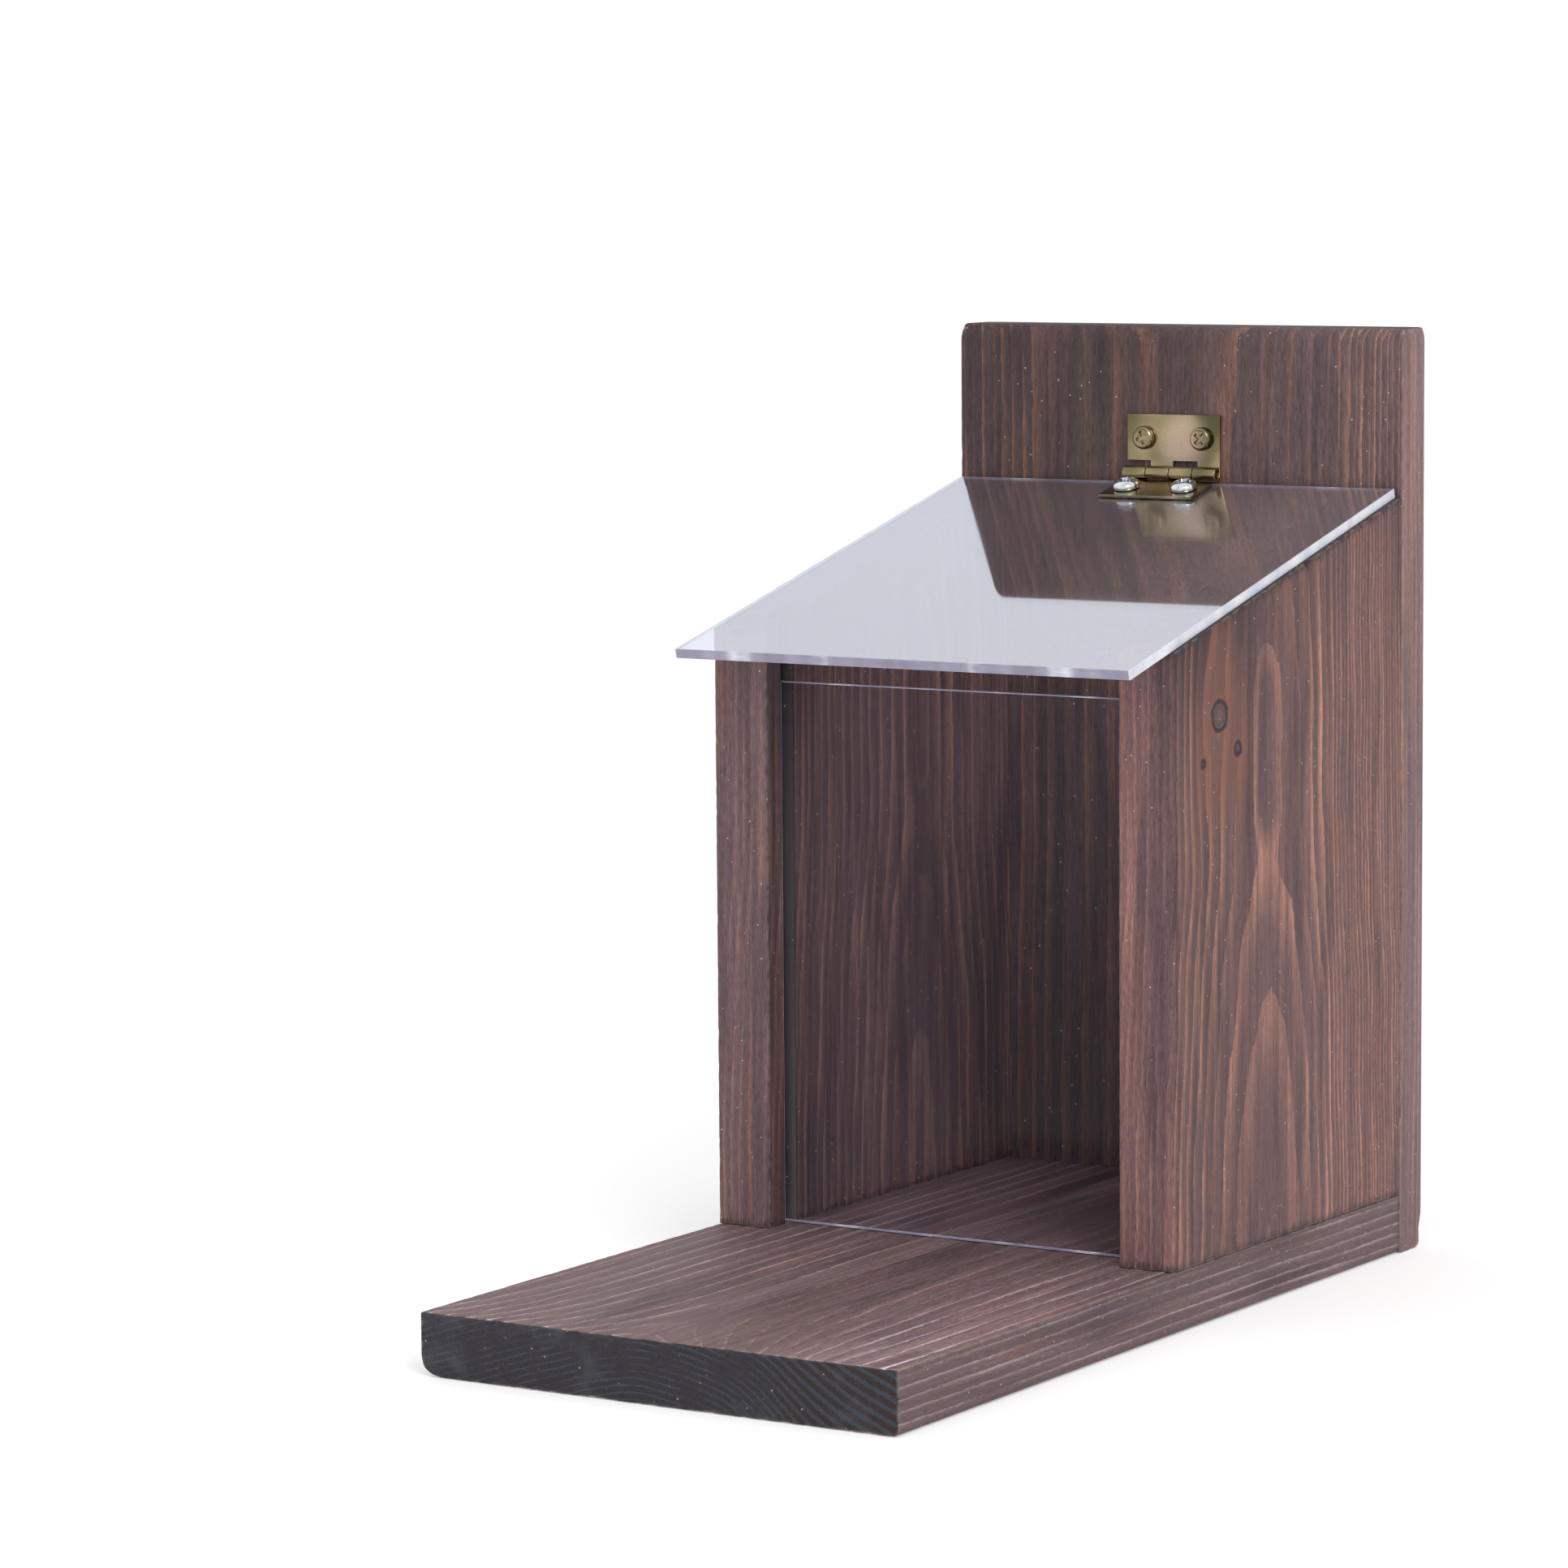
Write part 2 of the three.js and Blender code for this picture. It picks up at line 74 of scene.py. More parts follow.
ROOF_SLOPE = math.atan2(SIDE_REAR_HEIGHT - SIDE_FRONT_HEIGHT, SIDE_DEPTH)
# The lid rests on the side boards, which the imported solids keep 0.3 mm away from it
LID_SEAT_RISE = 0.24
GRID_STEP = 1.7
EDGE_SHARES = (0, 0.14, 0.32, 0.54, 0.78, 1)
SHARP_EDGE = 32

# Hinge and clear sheets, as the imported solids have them, with the clearance that these keep
GAP = 0.3
SHEET_THICKNESS = 3
LID_ARRIS = 0.35
PANE_ARRIS = 0.15
HINGE_LENGTH = 35.5
LEAF_REACH = 20
LEAF_THICKNESS = 1
BARREL_RADIUS = 2.5
KNUCKLES = 4
KNUCKLE_GAP = 0.3
NOTCH_REACH = 4.2
ROLL_ANGLE = 295
ROLL_STEPS = 24
PIN_RADIUS = 1.1
LEAF_HOLE_REACH = 12
LEAF_HOLE_SPACING = 22
LEAF_HOLE_RADIUS = 2.8
LEAF_SOFTENING = 0.18
SHARP_STEEL = 35
SHARP_PIN = 40

# Screws, bolts and nuts: radius of the core and of the thread's crest, its pitch, and the lengths
WALL_SCREW = {
    "core": 1.35, "crest": 2, "pitch": 1.6, "length": 16, "head_radius": 4, "head_height": 2.6, "tip": 4,
    "dished": True}
LID_BOLT = {
    "core": 2.1, "crest": 2.5, "pitch": 0.8, "length": 11, "head_radius": 4.6, "head_height": 3, "tip": 0.3,
    "dished": False}
BOARD_SCREW = {"core": 1.4, "crest": 2, "pitch": 1.8, "length": 38, "head_radius": 4}
PLATE_SCREW = {"core": 1.0, "crest": 1.5, "pitch": 1.3, "length": 13, "head_radius": 3}
POINT_RADIUS = 0.15
BOARD_SCREW_SINK = 1
PLATE_PILOT = {"radius": 1.5, "length": 12, "head_radius": 2.2, "sink": 0}
WALL_PILOT_RADIUS = 2.3
WALL_PILOT_DEPTH = 14.5
NUT_ACROSS_FLATS = 8
NUT_HEIGHT = 4
NUT_BORE = {"core": 2.55, "crest": 2.95, "pitch": 0.8}
SCREW_FACETS = 32
HOLE_FACETS = 24
# A cutter reaches this far out of the surface that it opens
OVERRUN = 2

# Keyhole plate: its bed has round corners, and a pocket behind the slot takes the head of the screw that the
# feeder hangs on. The entry lies below the middle of the plate and the end of the slot above the entry.
BED_CORNER = 4.3
PLATE_THICKNESS = 1.5
ENTRY_DROP = 5
SLOT_RISE = 13
SLOT_RADIUS = 2.5
POCKET_HALF_WIDTH = 7
POCKET_DEPTH = 9
POCKET_START = 1
PLATE_ARRIS = 0.25

# Screws in the order in which they are made, and the ways that their heads face
SIDES = ("left", "right")
BASE_SCREWS = [f"base_screw_{side}_{end}" for side in SIDES for end in ("front", "rear")]
BACK_SCREWS = [f"back_screw_{side}_{level}" for side in SIDES for level in ("lower", "upper")]
TRAY_SCREWS = [f"tray_screw_{side}" for side in SIDES]
PLATE_SCREWS = [f"hanger_screw_{level}" for level in ("lower", "upper")]
DOWNWARD = (0, 0, -1)
REARWARD = (0, 1, 0)
FORWARD = (0, -1, 0)


def in_mm(node):
    """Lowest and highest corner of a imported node, in millimetres."""
    low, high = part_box(node)
    return low / MM, high / MM


BASE_LOW, BASE_HIGH = in_mm("base_board")
BACK_LOW, BACK_HIGH = in_mm("back_board")
HINGE_SPOT = Vector(frame["joints"][0]["pos_m"]) / MM


# Colour and node helpers


def colour(code):
    """Linear red, green, blue and full alpha from an sRGB hex value."""
    channels = [int(code[i:i + 2], 16) / 255 for i in (1, 3, 5)]
    linear = [c / 12.92 if c <= 0.04045 else ((c + 0.055) / 1.055) ** 2.4 for c in channels]
    return (*linear, 1.0)


def fill_ramp(ramp, stops):
    """Stops as pairs of place and sRGB hex value or grey level."""
    while len(ramp.elements) > 1:
        ramp.elements.remove(ramp.elements[-1])
    for index, (place, value) in enumerate(stops):
        element = ramp.elements[0] if index == 0 else ramp.elements.new(place)
        element.position = place
        element.color = colour(value) if isinstance(value, str) else (value, value, value, 1)


def add(tree, kind, settings=None, links=None):
    """Add a shader node. A setting is a property, or an input by its name or number, or a ramp's stops, and a
    hex value is a colour. A link comes from a socket, or from a node by its first output in use."""
    node = tree.nodes.new(f"ShaderNode{kind}")
    for key, value in (settings or {}).items():
        if key == "stops":
            fill_ramp(node.color_ramp, value)
        elif isinstance(key, str) and hasattr(node, key):
            setattr(node, key, value)
        else:
            is_colour = isinstance(value, str) and value.startswith("#")
            node.inputs[key].default_value = colour(value) if is_colour else value
    for key, source in (links or {}).items():
        if isinstance(source, bpy.types.Node):
            source = next(socket for socket in source.outputs if socket.enabled)
        tree.links.new(source, node.inputs[key])
    return node


def new_material(name):
    """A new material without nodes, and its tree."""
    material = bpy.data.materials.new(name)
    material.use_nodes = True
    material.node_tree.nodes.clear()
    return material, material.node_tree


def measured_material(name):
    """A new material, its tree and its place in millimetres."""
    material, tree = new_material(name)
    place = add(tree, "TexCoord").outputs["Object"]
    mm_space = add(tree, "VectorMath", {"operation": "SCALE", "Scale": 1 / MM}, {0: place})
    return material, tree, mm_space


# Mesh helpers


def object_of(mesh, name):
    """A mesh as an object in the scene, the mesh consumed."""
    data = bpy.data.meshes.new(name)
    mesh.to_mesh(data)
    mesh.free()
    made = bpy.data.objects.new(name, data)
    bpy.context.scene.collection.objects.link(made)
    return made


def with_modifiers(rough):
    """The mesh of a scene object as its modifiers leave it."""
    bpy.context.view_layer.update()
    mesh = bmesh.new()
    mesh.from_mesh(rough.evaluated_get(bpy.context.evaluated_depsgraph_get()).to_mesh())
    return mesh


def discard(rough):
    """Take a scene object and its mesh away again."""
    data = rough.data
    bpy.data.objects.remove(rough)
    bpy.data.meshes.remove(data)


def piece_from(name, mesh, body, nodes, material):
    """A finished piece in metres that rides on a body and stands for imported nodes."""
    piece = object_of(mesh, name)
    piece.data.transform(Matrix.Scale(MM, 4))
    piece.data.materials.append(material)
    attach(piece, body)
    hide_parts(*nodes)
    return piece


def carved(mesh, cutter):
    """The first mesh with the second cut away, both consumed."""
    pair = [object_of(source, "rough") for source in (mesh, cutter)]
    cut = pair[0].modifiers.new("cut", "BOOLEAN")
    cut.operation = "DIFFERENCE"
    cut.solver = "EXACT"
    cut.object = pair[1]
    result = with_modifiers(pair[0])
    for rough in pair:
        discard(rough)
    return result


def joined(parts):
    """Several meshes as one, the parts consumed."""
    whole = bmesh.new()
    for part in parts:
        data = bpy.data.meshes.new("part")
        part.to_mesh(data)
        part.free()
        whole.from_mesh(data)
        bpy.data.meshes.remove(data)
    return whole


def block(low, high):
    mesh = bmesh.new()
    bmesh.ops.create_cube(mesh, size=1)
    size = Vector(high) - Vector(low)
    middle = (Vector(high) + Vector(low)) / 2
    return placed(mesh, Matrix.Translation(middle) @ Matrix.Diagonal((*size, 1)))


def turned(rows, facets=SCREW_FACETS):
    """A round body about Z from rows of height and radius, where a radius may change with the angle."""
    mesh = bmesh.new()
    rings = []
    for height, radius in rows:
        ring = []
        for step in range(facets):
            angle = 2 * math.pi * step / facets
            reach = radius(angle) if callable(radius) else radius
            ring.append(mesh.verts.new((reach * math.cos(angle), reach * math.sin(angle), height)))
        rings.append(ring)
    for lower, upper in zip(rings, rings[1:]):
        for step in range(facets):
            after = (step + 1) % facets
            mesh.faces.new((lower[step], lower[after], upper[after], upper[step]))
    mesh.faces.new(rings[0][::-1])
    mesh.faces.new(rings[-1])
    bmesh.ops.recalc_face_normals(mesh, faces=mesh.faces)
    return mesh


def placed(mesh, matrix):
    bmesh.ops.transform(mesh, matrix=matrix, verts=mesh.verts)
    return mesh


def shade_by_angle(piece, degrees):
    """Smooth shading with an edge kept hard where faces meet at more than the angle."""
    sharp = math.radians(degrees)
    mesh = bmesh.new()
    mesh.from_mesh(piece.data)
    for face in mesh.faces:
        face.smooth = True
    for edge in mesh.edges:
        edge.smooth = len(edge.link_faces) == 2 and edge.calc_face_angle(0) < sharp
    mesh.to_mesh(piece.data)
    mesh.free()


# Wooden boards: a grid on all six sides, so that grain, wear and rounding are in the mesh


def stations(low, high, near, far, step=GRID_STEP):
    """Grid lines from low to high, close together in the rounded reach at each end."""
    start = [low + near * share for share in EDGE_SHARES]
    end = [high - far * share for share in reversed(EDGE_SHARES)]
    count = max(2, math.ceil((end[0] - start[-1]) / step))
    middle = np.linspace(start[-1], end[0], count + 1)[1:-1]
    return [*start, *middle, *end]


def gridded_block(xs, ys, zs):
    """A block whose six sides are cut up by the grid lines along each axis."""
    mesh = bmesh.new()
    axes = (xs, ys, zs)
    for across in range(3):
        first, second = [axis for axis in range(3) if axis != across]
        for level in (axes[across][0], axes[across][-1]):
            grid = []
            for a in axes[first]:
                line = []
                for b in axes[second]:
                    spot = [level, level, level]
                    spot[first] = a
                    spot[second] = b
                    line.append(mesh.verts.new(spot))
                grid.append(line)
            for line, after in zip(grid, grid[1:]):
                for k in range(len(line) - 1):
                    mesh.faces.new((line[k], after[k], after[k + 1], line[k + 1]))
    bmesh.ops.remove_doubles(mesh, verts=mesh.verts, dist=0.001)
    bmesh.ops.recalc_face_normals(mesh, faces=mesh.faces)
    return mesh


def points_of(mesh):
    return np.array([vert.co for vert in mesh.verts])


def move_to(mesh, points):
    for vert, point in zip(mesh.verts, points):
        vert.co = point


def round_edge(points, axes, corner, inward, reach):
    """Bend the square edge at a corner of two axes into a quarter ellipse, with the grid behind it."""
    first, second = axes
    near = 1 - (points[:, first] - corner[0]) * inward[0] / reach[0]
    far = 1 - (points[:, second] - corner[1]) * inward[1] / reach[1]
    zone = (near > 0) & (far > 0)
    near, far = near[zone], far[zone]
    outer = np.maximum(near, far)
    angle = np.where(
        far >= near,
        math.pi / 4 * near / np.maximum(far, 1e-9),
        math.pi / 2 - math.pi / 4 * far / np.maximum(near, 1e-9))
    points[zone, first] = corner[0] + inward[0] * reach[0] * (1 - outer * np.sin(angle))
    points[zone, second] = corner[1] + inward[1] * reach[1] * (1 - outer * np.cos(angle))


def ease_rest(points, low, high, axes, reach):
    """Ease all four edges that run along the axis that isn't named."""
    first, second = axes
    for a, inward_a in ((low[first], 1), (high[first], -1)):
        for b, inward_b in ((low[second], 1), (high[second], -1)):
            round_edge(points, axes, (a, b), (inward_a, inward_b), reach)


def drift(points, reach, seed):
    """Slow random variation from -1 to 1, with a reach in millimetres along each axis."""
    shift = Vector((seed * 17.3, seed * 5.7, seed * 29.1))
    scaled = points / np.array(reach)
    return np.array([noise.noise(Vector(spot) + shift) for spot in scaled])


def soft_step(value, low, high):
    share = np.clip((value - low) / (high - low), 0, 1)
    return share * share * (3 - 2 * share)


def soft_ramp(value, softness):
    """Nought below zero and the value above it, with a soft bend."""
    return softness * np.logaddexp(0, value / softness)


def years_at(radius, start, wide, narrow, change):
    """Ring count at a distance from the pith, in wide rings at first and in narrow ones after the change."""
    late = soft_ramp(radius - change, 3.0)
    return (radius - start - late) / wide + late / narrow


# Year rings of each board, as a ring count at every point. The pith lies outside the board.


def tray_years(p):
    """Flat-sawn: rings arch over a crown left of the middle, and lie wider apart in the right third."""
    across = p[:, 0] + 8
    crown = 0.15 * (np.sqrt(across ** 2 + 12 ** 2) - 12) - 0.03 * soft_ramp(across, 8)
    front_dip = 2.4 * np.exp(-(p[:, 1] - BASE_LOW.y) / 28) * (1 - soft_step(across, 25, 80))
    sway = 0.36 * drift(p, (45, 160, 45), 1) + 0.13 * drift(p, (11, 60, 11), 2)
    rings_through = 9.1 - 3.5 * soft_step(p[:, 0], 20, 55)
    return 12 + crown - front_dip + sway + (p[:, 2] / BASE_HIGH.z - 1) * rings_through


def back_years(p):
    """Flat-sawn with its heart side to the front, wide rings in the middle and narrow ones at the right."""
    across = p[:, 0] - 3
    depth = 60 - (p[:, 1] - BACK_LOW.y)
    radius = np.sqrt(across ** 2 + depth ** 2)
    radius += 1.6 * drift(p, (60, 60, 190), 3) + 0.5 * drift(p, (14, 14, 60), 4)
    narrow = 1.7 + 1.2 * (1 - soft_step(across, -40, 20))
    return years_at(radius, 0, 4.8, narrow, 84)


# Knots as place along Y, place along Z and radius
RIGHT_KNOTS = ((24.2, 192.8, 5.0), (36.5, 181.4, 2.1), (13.5, 178.4, 1.3))


def side_years(p, centre, knots, pith_side, seed):
    """Flat-sawn side board: its outer face has a flame below, a narrow lens above it, and grain that parts
    round the knots."""
    y = p[:, 1].copy()
    z = p[:, 2]
    for knot_y, knot_z, knot_radius in knots:
        away = ((p[:, 1] - knot_y) / (2.6 * knot_radius)) ** 2 + ((z - knot_z) / (4.6 * knot_radius)) ** 2
        y -= (p[:, 1] - knot_y) * 0.9 * np.exp(-away)
    across = y - centre + 2.2 * drift(p, (300, 300, 42), seed + 2)
    depth = 45 - pith_side * (abs(p[:, 0]) - 85)
    radius = np.sqrt(across ** 2 + depth ** 2)
    radius += 0.9 * drift(p, (50, 50, 170), seed) + 0.6 * drift(p, (11, 11, 55), seed + 1)
    radius += 0.5 * drift(p, (6, 6, 24), seed + 5)
    narrow = 1.9 + 1.9 * (1 - soft_step(across, -20, 35))
    tilt = pith_side * 0.22 * (85 - abs(p[:, 0]))
    flame = -2.4 * (1 - np.exp(-soft_ramp(141 - z, 5) / 70))
    lens = -0.9 * np.exp(-(across / 8.5) ** 2) * soft_step(z, 142, 166) * (1 - soft_step(z, 194, 221))
    top = 0.02 * soft_ramp(z - 203, 6)
    return years_at(radius, 45, 5.0, narrow, 61) + 9.92 + tilt + flame + lens + top


def ring_slopes(points, years_of):
    """Ring count at every point, and its change per millimetre along each axis."""
    years = years_of(points)
    slopes = []
    for axis in range(3):
        probe = points.copy()
        probe[:, axis] += 1
        slopes.append(years_of(probe) - years)
    return years, np.stack(slopes, axis=1)


def surface_pace(slopes, normals):
    """Rings per millimetre as they show on the surface."""
    along_normal = (slopes * normals).sum(axis=1, keepdims=True)
    return np.maximum(np.linalg.norm(slopes - along_normal * normals, axis=1), 0.01)


def raise_grain(mesh, years_of, along, height):
    """Lift the late wood a little where a ring spans several grid lines, as a weathered board has it."""
    points = points_of(mesh)
    mesh.normal_update()
    normals = np.array([vert.normal for vert in mesh.verts])
    years, slopes = ring_slopes(points, years_of)
    flat = np.abs(normals).max(axis=1) > 0.995
    on_end = np.abs(normals[:, along]) > 0.5
    wide_enough = 1 - soft_step(surface_pace(slopes, normals), 0.1, 0.22)
    phase = years - np.floor(years)
    late = soft_step(phase, 0.45, 0.85) * (1 - soft_step(phase, 0.93, 1.0))
    lift = height * (late - 1) * wide_enough * flat * ~on_end
    move_to(mesh, points + normals * lift[:, None])


def edge_closeness(points, low, high, reach):
    """1 on the long edges of a board and 0 from a reach away, where the second nearest side counts."""
    distances = np.minimum(points - np.array(low), np.array(high) - points)
    distances.sort(axis=1)
    return np.clip(1 - distances[:, 1] / reach, 0, 1)


def wear_edges(mesh, low, high, seed, depth):
    """Small random dents along the edges of a board, of one depth or one at each point."""
    reach = 1.2
    points = points_of(mesh)
    near_edge = edge_closeness(points, low, high, reach)
    dents = np.clip(drift(points, (2.2, 2.2, 2.2), seed) - 0.05, 0, 1)
    middle = (np.array(low) + np.array(high)) / 2
    close = np.minimum(points - np.array(low), np.array(high) - points) < reach
    inward = np.sign(middle - points) * close
    move_to(mesh, points + inward * (near_edge * dents * depth)[:, None])


def worn_edges(points, low, high, seed):
    """Where the arris is rubbed or chipped, from 0 to 1."""
    chips = np.clip(4 * drift(points, (2.5, 2.5, 2.5), seed) + 0.6, 0, 1)
    return edge_closeness(points, low, high, 0.9) * chips


def board_tone(points, along, seed):
    """Broad light and dark of the stain, drawn out along the grain."""
    broad = [16, 16, 16]
    narrow = [5, 5, 5]
    broad[along] = 90
    narrow[along] = 45
    return 1 + 0.16 * drift(points, broad, seed) + 0.14 * drift(points, narrow, seed + 20)


def tray_tone(p, n):
    """Lighter where feet and rain rubbed the right of the top and the front, the right of the top also
    painted lighter as sheen, darker under the compartment.
    """
    top = n[:, 2] > 0.5
    # The right of the top is lighter, partly rubbed wear and partly painted sheen
    rubbed = 0.5 * soft_step(p[:, 0], 25, 62) * (1 - soft_step(p[:, 1], -150, 20))
    front = 0.12 * (1 - soft_step(p[:, 1], -172, -120))
    inside = 0.2 * soft_step(p[:, 1], 0, 30)
    return board_tone(p, 1, 41) + 0.06 + top * (0.08 + rubbed + front - inside)


def tray_bold(p, n):
    """The rings show less on the long sides and where the top is rubbed smooth, right of the crown."""
    rubbed = soft_step(p[:, 0], -12, 8) * (1 - soft_step(p[:, 0], 45, 62))
    return np.where(np.abs(n[:, 0]) > 0.7, 0.6, 1 - 0.65 * rubbed)


def back_bold(p, n):
    return np.where(np.abs(n[:, 0]) > 0.7, 0.5, 1)


def side_bold(p, n, centre):
    """The rings hardly show on the front and rear edges, nor above and in front of the lens, where stain has
    soaked into torn grain."""
    soaked = np.exp(-((p[:, 1] - centre + 9) / 10) ** 2 - ((p[:, 2] - 216) / 17) ** 2)
    return np.where(np.abs(n[:, 1]) > 0.7, 0.35, 1 - 0.75 * soaked)


def back_tone(p, n):
    """A thick coat at the left of the front, thinner at the right and on the side edges; the dark left of the
    front is partly painted shade, and the front below the lid is painted lighter, as painted light.
    """
    # Dark left of the front partly painted shade, and painted light below the lid, inside the compartment
    front = 0.72 + 0.66 * soft_step(p[:, 0], -55, 75) + 0.08 * (1 - soft_step(p[:, 2], 215, 245))
    return board_tone(p, 2, 42) * np.where(np.abs(n[:, 0]) > 0.5, 2.1, front)


def side_tone(p, n, sign, centre, low, high, seed):
    """Darker below the sawn top and most at the front, partly end grain that drank stain and partly a painted
    shadow of the lid; the front of the outer face is a little darker, painted shade, and the rear lighter;
    the soft wood inside the lens drank most; and the groove is painted dark as shade."""
    top = roof_height(p[:, 1], low) - p[:, 2]
    # Darker below the sawn top, most at the front: partly stain that the end grain drank, partly a painted
    # shadow of the lid
    soaked = (0.26 + 0.24 * (1 - soft_step(p[:, 1], 30, 75))) * np.exp(-np.maximum(top, 0) / 24)
    shaded = 0.14 * (1 - soft_step(p[:, 1], 18, 50)) * (np.abs(n[:, 0]) > 0.6)
    lens = 0.16 * np.exp(-((p[:, 1] - centre + 3) / 6) ** 2) * soft_step(p[:, 2], 148, 165)
    lens = lens * (1 - soft_step(p[:, 2], 200, 216)) * (np.abs(n[:, 0]) > 0.6)
    tone = board_tone(p, 2, seed) + 0.02 - soaked - shaded - lens + 0.06 * soft_step(p[:, 1], 70, 100)
    # In the groove and at its mouth the colour is painted dark: painted shade in the recess
    inner = high.x if sign < 0 else low.x
    slack = 0.2
    into_groove = p[:, 1] - low.y - GROOVE_SETBACK
    groove_painted_shade = np.abs(p[:, 0] - inner) < GROOVE_DEPTH + slack
    groove_painted_shade &= (into_groove > -slack) & (into_groove < GROOVE_WIDTH + slack)
    facing_in = n[:, 0] * sign < -0.5
    front_edge = n[:, 1] < -0.7
    return tone * np.where(groove_painted_shade, 0.22, np.where(facing_in, 1.05, np.where(front_edge, 1.26, 1)))


def tray_from_end(p, n):
    """Distance in millimetres to the rear end, where stain crept up the fibres."""
    return BASE_HIGH.y - p[:, 1]


def back_from_end(p, n):
    """The ends of the back board were cut before it was stained all round, and show no dark fringe."""
    return np.full(len(p), 20.0)


def finish_board(name, mesh, material, years_of, fields, low, high, level=None):
    """A board with its ring count, ring pace, edge wear and further fields kept at every point."""
    piece = piece_from(f"{name}_timber", mesh, "housing", [name], material)
    data = piece.data
    points = np.empty(len(data.vertices) * 3)
    data.vertices.foreach_get("co", points)
    points = points.reshape(-1, 3) / MM
    normals = np.array([vertex.normal for vertex in data.vertices])
    years, slopes = ring_slopes(points, years_of)
    kept = {
        "years": years,
        "pace": surface_pace(slopes, normals),
        "worn": worn_edges(level(points) if level else points, low, high, 51),
    }
    for label, value_of in fields.items():
        kept[label] = value_of(points, normals)
    for label, values in kept.items():
        data.attributes.new(label, "FLOAT", "POINT").data.foreach_set("value", values.astype(np.float32))
    shade_by_angle(piece, SHARP_EDGE)


# Materials


# Long grain and end grain colours of each board. Widths are in millimetres.
# A ridge colour is light partly from rubbing and partly as a painted highlight
TRAY_TONES = {
    "early": "#685455", "late": "#7F6A6C", "ridge": "#B4A3AB", "groove": "#524144", "streak": "#7F5852",
    "late_from": 0.45, "feather": 1.2, "ridge_width": 1.1, "ridge_share": 0.8, "groove_width": 0.8,
    "groove_share": 0.45,
}
BACK_TONES = {
    "early": "#574749", "late": "#8C6452", "ridge": "#8E6C60", "groove": "#443A3E", "streak": "#6E4E46",
    "late_from": 0.55, "feather": 3.2, "ridge_width": 1.0, "ridge_share": 0.12, "groove_width": 0.8,
    "groove_share": 0.25,
}
SIDE_TONES = {
    "early": "#684F51", "late": "#AE7D6C", "ridge": "#AE8A80", "groove": "#524147", "streak": "#8C6359",
    "late_from": 0.42, "feather": 2.4, "ridge_width": 0.8, "ridge_share": 0.15, "groove_width": 1.0,
    "groove_share": 0.3,
}
LEFT_TONES = {**SIDE_TONES, "early": "#5F4C4F", "late": "#8E6A60"}
END_TONES = {"early": "#35323A", "line": "#565862", "brown": "#382A28", "slate": "#3C454F"}
PATCH_TONE = "#463A40"
CREPT_TONE = "#2C2429"
RUBBED_END_TONE = "#6E6E78"
RUBBED_ARRIS_TONE = "#A39389"
SPECK_TONE = "#CDBBB2"
RESIN_TONE = "#8A5B4A"


def pine_patterns(tree, mm_space, along, seed):
    """The fields kept at a board's points, and noise drawn out along its grain: ragged fibres 0.7 mm wide and
    6 mm long, finer ones 0.45 mm wide and 4 mm long, streaks 3 mm wide and 100 mm long, faint ones 2 mm wide
    and 70 mm long, and patches 9 mm wide and 80 mm long."""
    pine = {}
    for label in ("years", "pace", "bold", "tone", "from_end", "worn"):
        pine[label] = add(tree, "Attribute", {"attribute_name": label}).outputs["Fac"]
    drawn_out = []
    for stretch in (9, 36):
        shares = [1.0, 1.0, 1.0]
        shares[along] = 1 / stretch
        drawn_out.append(add(tree, "VectorMath", {"operation": "MULTIPLY", 1: shares}, {0: mm_space}))
    fibre_space, streak_space = drawn_out
    for label, scale in (("ragged", 1.5), ("fibres", 2.2)):
        pine[label] = add(tree, "TexNoise", {"Scale": scale, "Detail": 4.0, "Roughness": 0.7},
                          {"Vector": fibre_space})
    for label, space, scale, detail, shift in (
            ("streaks", streak_space, 0.3, 3.0, 0), ("faint", streak_space, 0.5, 2.0, 9),
            ("patches", fibre_space, 0.11, 4.0, 4)):
        settings = {"noise_dimensions": "4D", "Scale": scale, "Detail": detail, "W": seed + shift}
        pine[label] = add(tree, "TexNoise", settings, {"Vector": space})
    return pine


def ring_place(tree, pine, feather, end_share):
    """How far a point lies through its year ring, the ring's number, and the millimetres to the ring's end
    and from its start. Ring edges are ragged by about 0.4 mm, and on long grain feathered by about 1 mm."""
    centred = add(tree, "Math", {"operation": "SUBTRACT", 1: 0.5}, {0: pine["ragged"]})
    reach = add(tree, "Math", {"operation": "MULTIPLY_ADD", 1: 0.9, 2: 0.1}, {0: pine["pace"]})
    count = add(tree, "Math", {"operation": "MULTIPLY_ADD"}, {0: centred, 1: reach, 2: pine["years"]})
    centred = add(tree, "Math", {"operation": "SUBTRACT", 1: 0.5}, {0: pine["streaks"]})
    long_share = add(tree, "Math", {"operation": "SUBTRACT", 0: 1.0}, {1: end_share})
    centred = add(tree, "Math", {"operation": "MULTIPLY"}, {0: centred, 1: long_share})
    reach = add(tree, "Math", {"operation": "MULTIPLY_ADD", 1: feather, 2: 0.08 * feather}, {0: pine["pace"]})
    count = add(tree, "Math", {"operation": "MULTIPLY_ADD"}, {0: centred, 1: reach, 2: count})
    phase = add(tree, "Math", {"operation": "FRACT"}, {0: count})
    ring = add(tree, "Math", {"operation": "FLOOR"}, {0: count})
    left_over = add(tree, "Math", {"operation": "SUBTRACT", 0: 1.0}, {1: phase})
    to_end = add(tree, "Math", {"operation": "DIVIDE"}, {0: left_over, 1: pine["pace"]})
    from_start = add(tree, "Math", {"operation": "DIVIDE"}, {0: phase, 1: pine["pace"]})
    return phase, ring, to_end, from_start


